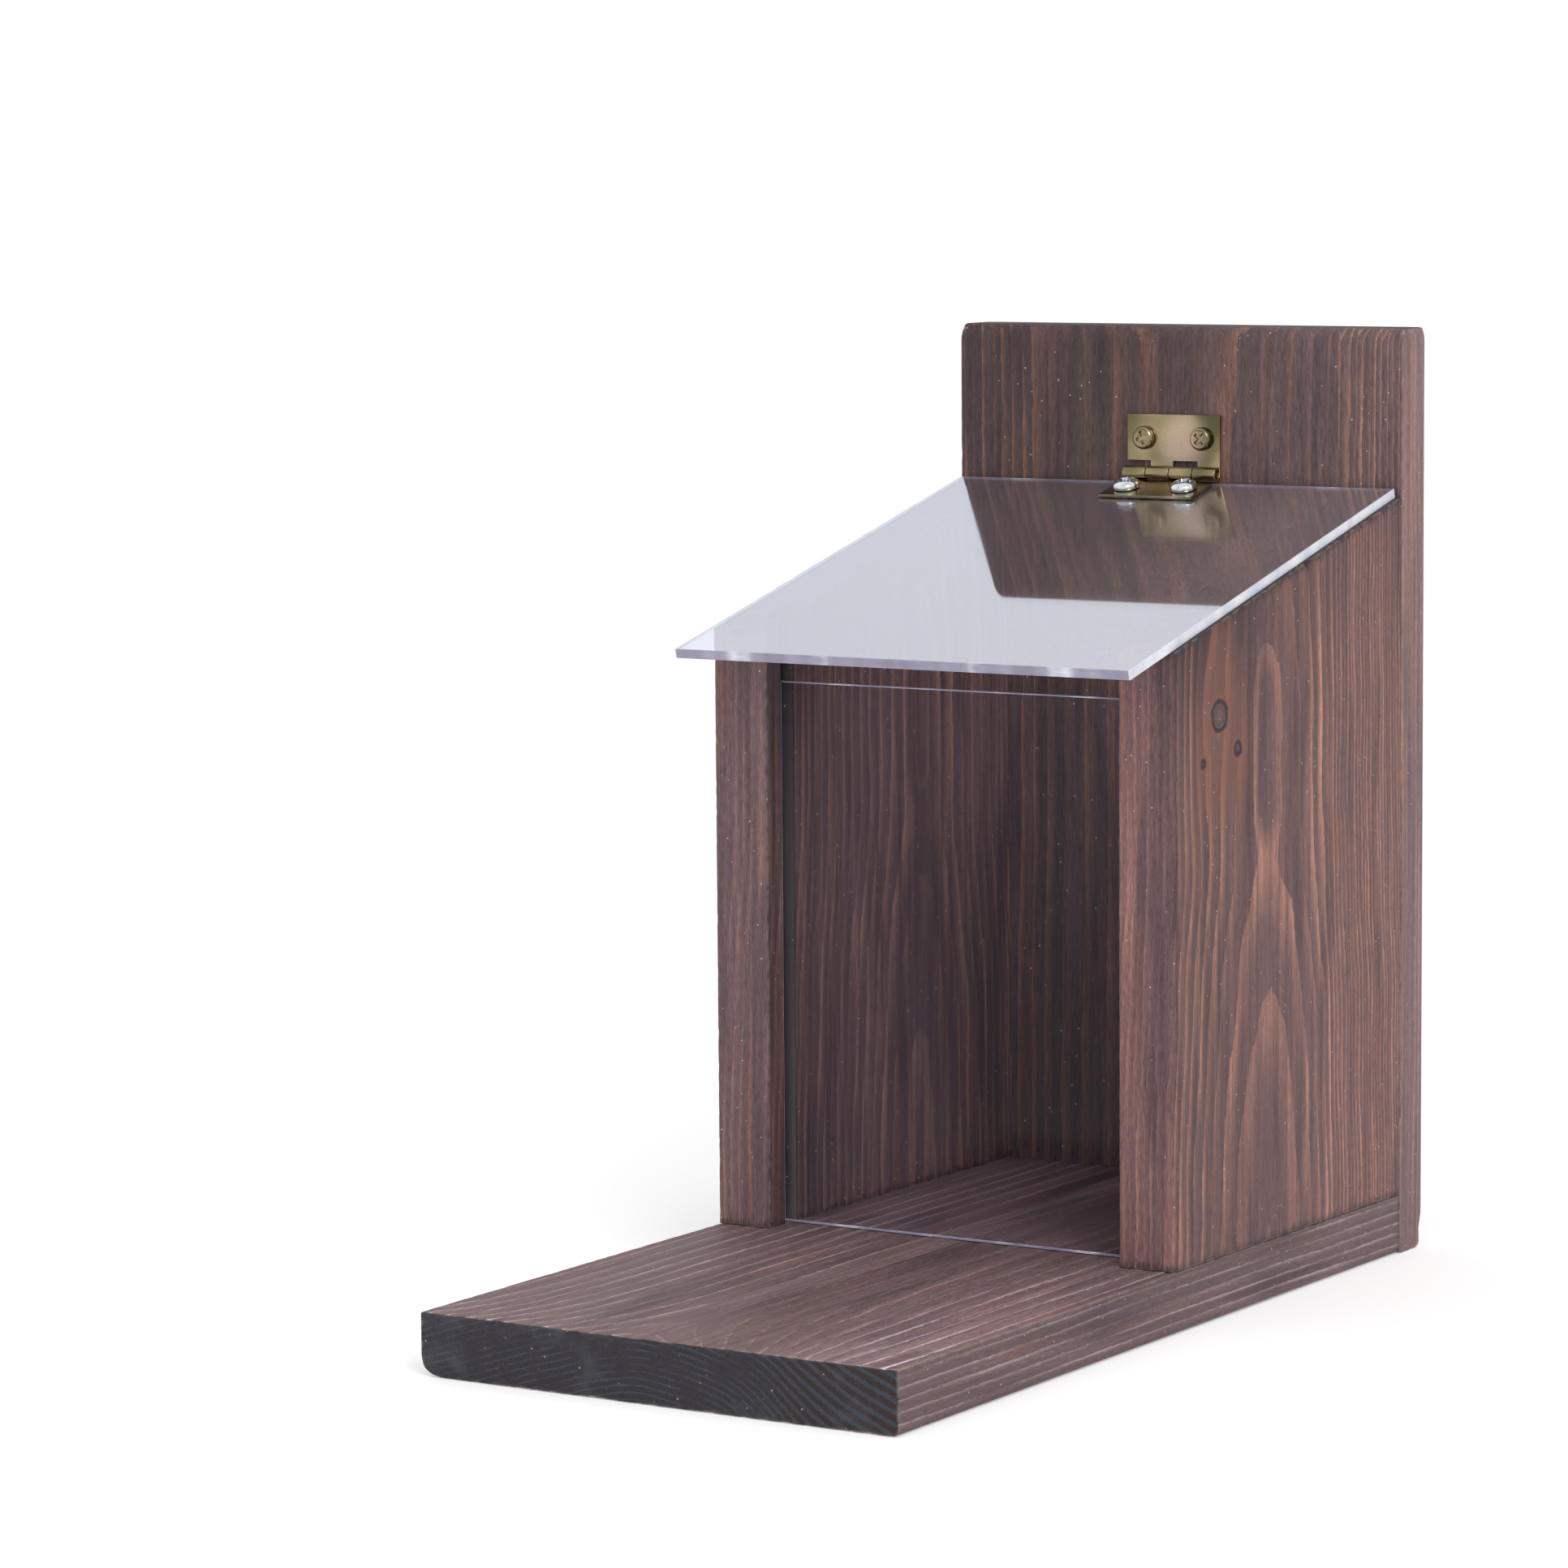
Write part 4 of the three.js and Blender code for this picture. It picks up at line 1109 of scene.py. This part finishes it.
def side_board(side, sign, centre, knots, pith_side, seed, front_round, material):
    """One side board. The sign is that of its outer face along X, and its flame and lens stand at the centre
    along Y."""
    low, high = in_mm(f"side_panel_{side}")
    outer, inner = (low.x, high.x) if sign < 0 else (high.x, low.x)
    reach = {outer: front_round, inner: BOARD_EASE}
    mesh = gridded_block(
        stations(low.x, high.x, reach[low.x], reach[high.x], step=2.0),
        stations(low.y, high.y, front_round, BOARD_EASE, step=1.5),
        stations(low.z, high.z, BOARD_EASE, BOARD_EASE, step=1.9))
    points = points_of(mesh)
    round_edge(points, (0, 1), (outer, low.y), (-sign, 1), (front_round, front_round))
    round_edge(points, (0, 1), (inner, low.y), (sign, 1), EASE)
    for x, inward in ((low.x, 1), (high.x, -1)):
        round_edge(points, (0, 1), (x, high.y), (inward, -1), EASE)
    for axes in ((0, 2), (1, 2)):
        ease_rest(points, low, high, axes, FINE_EASE)
    move_to(mesh, points)
    # The saw tore the arrises of the top, most of all behind its middle
    points = points_of(mesh)
    torn = (points[:, 2] > high.z - 1.5) * soft_step(points[:, 1], low.y + 25, low.y + 70)
    torn = torn * (1 - soft_step(points[:, 1], low.y + 120, low.y + 150))
    wear_edges(mesh, low, high, seed, depth=0.3 + 1.6 * torn)
    move_to(mesh, slanted(points_of(mesh), low, 1))

    def years_of(p):
        return side_years(p, centre, knots, pith_side, seed)

    def tone_of(p, n):
        return side_tone(p, n, sign, centre, low, high, seed + 3)

    def bold_of(p, n):
        return side_bold(p, n, centre)

    def from_end(p, n):
        return np.minimum(p[:, 2] - low.z, roof_height(p[:, 1], low) - p[:, 2])

    raise_grain(mesh, years_of, along=2, height=0.12)
    groove_front = low.y + GROOVE_SETBACK
    groove_floor = inner + sign * GROOVE_DEPTH
    open_side = inner - sign * OVERRUN
    cutters = [block(
        (min(groove_floor, open_side), groove_front, low.z - OVERRUN),
        (max(groove_floor, open_side), groove_front + GROOVE_WIDTH, high.z + OVERRUN))]
    cutters += [hole_at(node, DOWNWARD, BASE_LOW.z) for node in BASE_SCREWS if side in node]
    cutters += [hole_at(node, REARWARD, BACK_HIGH.y) for node in BACK_SCREWS if side in node]
    mesh = carved(mesh, joined(cutters))
    fields = {"tone": tone_of, "bold": bold_of, "from_end": from_end}
    finish_board(f"side_panel_{side}", mesh, material, years_of, fields, low, high,
                 lambda points: slanted(points, low, -1))


tray_board()
back_upright()
side_board("right", sign=1, centre=57, knots=RIGHT_KNOTS, pith_side=1, seed=31, front_round=SIDE_FRONT_ROUND,
           material=RIGHT_PINE)
side_board("left", sign=-1, centre=92, knots=(), pith_side=-1, seed=37, front_round=BOARD_EASE,
           material=LEFT_PINE)


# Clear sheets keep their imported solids, with the arris taken off


def soften(piece, width):
    """A small round on every arris of a piece."""
    arris = piece.modifiers.new("arris", "BEVEL")
    arris.width = width * MM
    arris.segments = 2
    arris.limit_method = "ANGLE"
    arris.angle_limit = math.radians(40)


def dress(node, width, material):
    """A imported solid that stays, with its material and its arris taken off."""
    piece = NODES[node]
    piece.data.materials.clear()
    piece.data.materials.append(material)
    soften(piece, width)


def level_box(node, tilt, pivot):
    """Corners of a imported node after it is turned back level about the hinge, in metres."""
    turn = Matrix.Translation(pivot) @ Matrix.Rotation(-tilt, 4, "X") @ Matrix.Translation(-pivot)
    corners = np.array([turn @ vert.co for vert in NODES[node].data.vertices])
    return tuple(corners.min(axis=0)), tuple(corners.max(axis=0))


LID_ACRYLIC = clear_acrylic("clear acrylic, lid", "lid_panel", tilt=ROOF_SLOPE, other_axis="Y",
                            arris=LID_ARRIS, ior=1.49, mirror=0.05)
# The pane's index is matched to the photo, where it hardly mirrors
PANE_ACRYLIC = clear_acrylic("clear acrylic, front pane", "front_window", tilt=0, other_axis="Z",
                             arris=PANE_ARRIS, ior=1.12, mirror=0)
dress("lid_panel", LID_ARRIS, LID_ACRYLIC)
dress("front_window", PANE_ARRIS, PANE_ACRYLIC)


# Hinge


def rolled_leaf():
    """One leaf of sheet steel about the hinge axis: the plate stands up behind, and two of the four
    knuckles are rolled from it under the pin and up the front, where the seam stays open."""
    middle_radius = BARREL_RADIUS - LEAF_THICKNESS / 2
    path = [(middle_radius, LEAF_REACH), (middle_radius, NOTCH_REACH), (middle_radius, NOTCH_REACH / 2)]
    for step in range(ROLL_STEPS + 1):
        angle = -math.radians(ROLL_ANGLE) * step / ROLL_STEPS
        path.append((middle_radius * math.cos(angle), middle_radius * math.sin(angle)))
    pitch = (HINGE_LENGTH + KNUCKLE_GAP) / KNUCKLES
    half = HINGE_LENGTH / 2
    lines = [-half]
    for index in range(1, KNUCKLES, 2):
        start = pitch * index - half
        lines += [start, start + pitch - KNUCKLE_GAP]
    mesh = bmesh.new()
    grid = [[mesh.verts.new((x, y, z)) for x in lines] for y, z in path]
    for row, (line, after) in enumerate(zip(grid, grid[1:])):
        for column in range(len(lines) - 1):
            is_knuckle = column % 2 == 1
            if row == 0 or is_knuckle:
                mesh.faces.new((line[column], line[column + 1], after[column + 1], after[column]))
    loose = [vert for vert in mesh.verts if not vert.link_faces]
    bmesh.ops.delete(mesh, geom=loose, context="VERTS")
    bmesh.ops.recalc_face_normals(mesh, faces=mesh.faces)
    return mesh


def leaf_piece(node, body, matrix):
    """A hinge leaf of real thickness, with its two screw holes, put in its place."""
    sheet = object_of(rolled_leaf(), "sheet")
    thickness = sheet.modifiers.new("thickness", "SOLIDIFY")
    thickness.thickness = LEAF_THICKNESS
    thickness.offset = 0
    solid = with_modifiers(sheet)
    discard(sheet)
    holes = []
    for sign in (-1, 1):
        hole = turned([(-2 * OVERRUN, LEAF_HOLE_RADIUS), (2 * OVERRUN, LEAF_HOLE_RADIUS)], HOLE_FACETS)
        spot = Vector((sign * LEAF_HOLE_SPACING / 2, BARREL_RADIUS, LEAF_HOLE_REACH))
        holes.append(placed(hole, Matrix.Translation(spot) @ Matrix.Rotation(math.pi / 2, 4, "X")))
    solid = placed(carved(solid, joined(holes)), matrix)
    piece = piece_from(f"{node}_rolled", solid, body, [node], YELLOW_ZINC)
    soften(piece, LEAF_SOFTENING)
    shade_by_angle(piece, SHARP_STEEL)


LID_PLACE = Matrix.Translation(HINGE_SPOT) @ Matrix.Rotation(ROOF_SLOPE, 4, "X")
leaf_piece("hinge_leaf_wall", "housing", Matrix.Translation(HINGE_SPOT))
leaf_piece("hinge_leaf_lid", "lid",
           LID_PLACE @ Matrix.Rotation(math.pi / 2, 4, "X") @ Matrix.Rotation(math.pi, 4, "Z"))


def hinge_pin():
    """The pin, 1 mm short of the barrel's ends, with turned ends."""
    half = HINGE_LENGTH / 2 - 1
    turned_end = [(half - 0.45, PIN_RADIUS), (half - 0.15, 0.85), (half, 0.5)]
    rows = [(-height, radius) for height, radius in reversed(turned_end)] + turned_end
    turn = Matrix.Translation(HINGE_SPOT) @ Matrix.Rotation(math.pi / 2, 4, "Y")
    piece = piece_from("hinge_pin_headed", placed(turned(rows), turn), "housing",
                       ["hinge_pin"], YELLOW_ZINC)
    shade_by_angle(piece, SHARP_PIN)


hinge_pin()


# Screws, bolts and nuts


def cross_cutters(head_radius, top):
    """Cross recess: two slots that narrow as they go in, and two fine ones between them that make short
    ticks. No two slots are equally deep, which keeps the cuts clean."""
    arm = head_radius * 0.2
    tick = 0.3 * arm
    parts = []
    for eighth, width, reach, depth in (
            (0, arm, 0.74, 0.4), (2, arm, 0.74, 0.42), (1, tick, 0.7, 0.25), (3, tick, 0.7, 0.23)):
        span = head_radius * reach
        slot = block((-width, -span, top - head_radius * depth), (width, span, top + 1))
        for vert in slot.verts:
            if vert.co.z < top:
                vert.co.x *= 0.7
                vert.co.y *= 0.68
        parts.append(placed(slot, Matrix.Rotation(eighth * math.pi / 4, 4, "Z")))
    return parts


def dish_cutter(head_radius, top):
    """The shallow dish round a cross recess, which leaves a raised rim."""
    rows = ((-0.7, 0.66), (-0.5, 0.77), (1, 0.9))
    return turned([(top + height, head_radius * share) for height, share in rows])


def thread_rows(low, high, core, crest, pitch):
    """Rows of a helical thread between two heights."""
    rows = []
    count = max(2, math.ceil((high - low) / pitch * 6))
    for step in range(count + 1):
        height = low + (high - low) * step / count

        def radius(angle, height=height):
            phase = (height / pitch - angle / (2 * math.pi)) % 1
            return core + (crest - core) * (1 - abs(2 * phase - 1))

        rows.append((height, radius))
    return rows


def pan_head_rows(radius, height, roundness):
    """Side and crown of a pan head: a short upright rim and a crown that ends nearly flat."""
    rim = height * 0.3
    crown = height - rim
    steps = 8
    last = math.radians(84)
    rows = [(0, radius * 0.97), (rim * 0.4, radius), (rim, radius)]
    for step in range(1, steps + 1):
        angle = step / steps * last
        rows.append((rim + crown * math.sin(angle) / math.sin(last), radius * math.cos(angle) ** roundness))
    return rows


def recessed(mesh, head_radius, top):
    """A screw with the cross recess cut into its head."""
    for cutter in cross_cutters(head_radius, top):
        mesh = carved(mesh, cutter)
    return mesh


def pan_screw(core, crest, pitch, length, head_radius, head_height, tip, dished):
    """A screw or bolt whose head seats on the local zero."""
    neck = 0.5
    roundness = 0.45 if dished else 0.8
    rows = [(-length, POINT_RADIUS), (-length + tip, core)]
    rows += thread_rows(-length + tip + 0.05, -neck - 0.2, core, crest, pitch)
    rows += [(-neck, crest), (-0.02, crest)]
    mesh = turned(rows + pan_head_rows(head_radius, head_height, roundness))
    if dished:
        mesh = carved(mesh, dish_cutter(head_radius, head_height))
    return recessed(mesh, head_radius, head_height)


def flat_screw(core, crest, pitch, length, head_radius):
    """A countersunk screw whose flat head ends at the local zero, with a plain shank of 8 mm below it."""
    tip = 4
    shank = 8
    rim = 0.3
    cone = -rim - (head_radius - crest)
    rows = [(-length, POINT_RADIUS), (-length + tip, core)]
    rows += thread_rows(-length + tip + 0.05, cone - shank, core, crest, pitch)
    rows += [(cone - shank + 0.5, crest), (cone, crest)]
    rows += [(-rim, head_radius), (-0.08, head_radius), (0, head_radius - 0.08)]
    return recessed(turned(rows), head_radius, 0)


METALS = {"yellow_zinc_steel": YELLOW_ZINC, "bright_zinc_steel": BRIGHT_ZINC}


def screw_piece(node, mesh, matrix, slot, body):
    piece = piece_from(f"{node}_threaded", placed(mesh, matrix), body, [node], METALS[slot])
    shade_by_angle(piece, SHARP_STEEL)


def sunk_screw(node, direction, shape, slot):
    """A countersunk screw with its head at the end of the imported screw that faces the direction."""
    axis = main_axis(direction)
    seat = spot_of(node)
    low, high = in_mm(node)
    seat[axis] = high[axis] if direction[axis] > 0 else low[axis]
    # Its recess points some way of its own
    spin = seat.y if direction == DOWNWARD else seat.z
    matrix = Matrix.Translation(seat) @ facing(direction, spin)
    screw_piece(node, flat_screw(**shape), matrix, slot, "housing")


for index, side in enumerate(SIDES):
    low, high = in_mm(f"wall_screw_{side}")
    seat = Vector(((low.x + high.x) / 2, low.y + WALL_SCREW["head_height"], (low.z + high.z) / 2))
    screw_piece(f"wall_screw_{side}", pan_screw(**WALL_SCREW),
                Matrix.Translation(seat) @ facing(FORWARD, 0.3 + index * 0.5), "yellow_zinc_steel", "housing")

    bolt_seat = Vector((seat.x - HINGE_SPOT.x, -LEAF_HOLE_REACH, LEAF_THICKNESS + GAP - BARREL_RADIUS))
    screw_piece(f"lid_bolt_{side}", pan_screw(**LID_BOLT),
                LID_PLACE @ Matrix.Translation(bolt_seat) @ Matrix.Rotation(0.9 - index, 4, "Z"),
                "bright_zinc_steel", "lid")

for node in BASE_SCREWS:
    sunk_screw(node, DOWNWARD, BOARD_SCREW, "yellow_zinc_steel")
for node in BACK_SCREWS + TRAY_SCREWS:
    sunk_screw(node, REARWARD, BOARD_SCREW, "yellow_zinc_steel")
for node in PLATE_SCREWS:
    sunk_screw(node, REARWARD, PLATE_SCREW, "bright_zinc_steel")


def nut():
    """Six-sided nut with its corners turned off at both ends and a threaded bore."""
    corner = NUT_ACROSS_FLATS / 2 / math.cos(math.pi / 6)
    mesh = turned([(-NUT_HEIGHT, corner), (0, corner)], 6)
    level = [edge for edge in mesh.edges if abs(edge.verts[0].co.z - edge.verts[1].co.z) < 0.1]
    bmesh.ops.bevel(mesh, geom=level, offset=0.35, segments=2, profile=0.6, affect="EDGES")
    return carved(mesh, turned(thread_rows(-NUT_HEIGHT - OVERRUN, OVERRUN, **NUT_BORE), HOLE_FACETS))


for side in SIDES:
    under_lid = -BARREL_RADIUS - GAP - SHEET_THICKNESS - GAP
    seat = Vector((spot_of(f"lid_nut_{side}").x - HINGE_SPOT.x, -LEAF_HOLE_REACH, under_lid))
    screw_piece(f"lid_nut_{side}", nut(), LID_PLACE @ Matrix.Translation(seat), "bright_zinc_steel", "lid")


dress("hanger_plate", PLATE_ARRIS, BRIGHT_ZINC)


# Floor, world, light and camera


def seen_rays(tree):
    """1 for what the camera sees, also in mirrors and through glass, and 0 for the light on the object."""
    rays = add(tree, "LightPath")
    mirrored = add(tree, "Math", {"operation": "MAXIMUM"},
                   {0: rays.outputs["Is Camera Ray"], 1: rays.outputs["Is Glossy Ray"]})
    return add(tree, "Math", {"operation": "MAXIMUM"}, {0: mirrored, 1: rays.outputs["Is Transmission Ray"]})


def pale_floor():
    """Pale studio floor, white to the camera, which keeps the feeder's soft shadow near it."""
    material, tree = new_material("pale studio floor")
    seen = seen_rays(tree)
    place = add(tree, "TexCoord")
    reach = add(tree, "VectorMath", {"operation": "LENGTH"}, {0: place.outputs["Object"]})
    grain = add(tree, "TexNoise", {"Scale": 4.0}, {"Vector": place.outputs["Object"]})
    near_tint = add(tree, "Mix", {"data_type": "RGBA", 6: "#E9E9EA", 7: "#EDEDED"}, {0: grain})
    floor = add(tree, "BsdfDiffuse", {}, {"Color": near_tint})
    lift = add(tree, "Math", {"operation": "MULTIPLY", 1: 0.34}, {0: seen})
    white = add(tree, "Emission", {"Color": "#FFFFFF"}, {"Strength": lift})
    near = add(tree, "AddShader", {}, {0: floor, 1: white})
    plain = add(tree, "Emission", {"Color": "#FFFFFF", "Strength": 1.0})
    fade = add(tree, "MapRange", {"interpolation_type": "SMOOTHSTEP", "From Min": 0.25, "From Max": 0.6},
               {"Value": reach.outputs["Value"]})
    away = add(tree, "Math", {"operation": "MULTIPLY"}, {0: seen, 1: fade})
    surface = add(tree, "MixShader", {}, {0: away, 1: near, 2: plain})
    add(tree, "OutputMaterial", {}, {"Surface": surface})
    mesh = bmesh.new()
    bmesh.ops.create_circle(mesh, cap_ends=True, radius=6, segments=64)
    floor_object = object_of(mesh, "floor")
    # Just below the feeder's underside, so that the two never share a plane
    floor_object.location.z = -0.2 * MM
    floor_object.data.materials.append(material)


def studio_world(light_level):
    """White to the camera, and at a lower level as light on the object."""
    world = bpy.data.worlds.new("white studio")
    bpy.context.scene.world = world
    world.use_nodes = True
    tree = world.node_tree
    tree.nodes.clear()
    strength = add(tree, "Math", {"operation": "MULTIPLY_ADD", 1: 1 - light_level, 2: light_level},
                   {0: seen_rays(tree)})
    sky = add(tree, "Background", {"Color": "#FFFFFF"}, {"Strength": strength})
    add(tree, "OutputWorld", {}, {"Surface": sky})


def softbox(name, spot, aim, size, power):
    """A round area light, in metres and watts, turned towards its aim."""
    light = bpy.data.lights.new(name, "AREA")
    light.shape = "DISK"
    light.size = size
    light.energy = power
    lamp = bpy.data.objects.new(name, light)
    lamp.location = spot
    lamp.rotation_mode = "QUATERNION"
    lamp.rotation_quaternion = (Vector(aim) - Vector(spot)).to_track_quat("-Z", "Y")
    bpy.context.scene.collection.objects.link(lamp)


def photo_camera():
    """The photograph's view: 32.4 degrees round to the right side, 6.4 degrees down, long lens."""
    yaw = math.radians(32.38)
    pitch = math.radians(6.35)
    roll = math.radians(-0.438)
    ahead = Vector((-math.sin(yaw) * math.cos(pitch), math.cos(yaw) * math.cos(pitch), -math.sin(pitch)))
    level_right = Vector((math.cos(yaw), math.sin(yaw), 0))
    level_up = level_right.cross(ahead)
    right = level_right * math.cos(roll) + level_up * math.sin(roll)
    up = level_up * math.cos(roll) - level_right * math.sin(roll)
    data = bpy.data.cameras.new("photo camera")
    data.sensor_width = 36
    data.lens = 134.4
    camera = bpy.data.objects.new("photo camera", data)
    camera.location = (0.949245, -1.594594, 0.375959)
    camera.rotation_mode = "QUATERNION"
    camera.rotation_quaternion = Matrix((right, up, -ahead)).transposed().to_quaternion()
    bpy.context.scene.collection.objects.link(camera)
    bpy.context.scene.camera = camera


pale_floor()
studio_world(light_level=0.8)
softbox("key light", spot=(1.5, -1.5, 1.7), aim=(0, 0, 0.12), size=1.2, power=22)
photo_camera()
bpy.context.scene.view_settings.view_transform = "Standard"
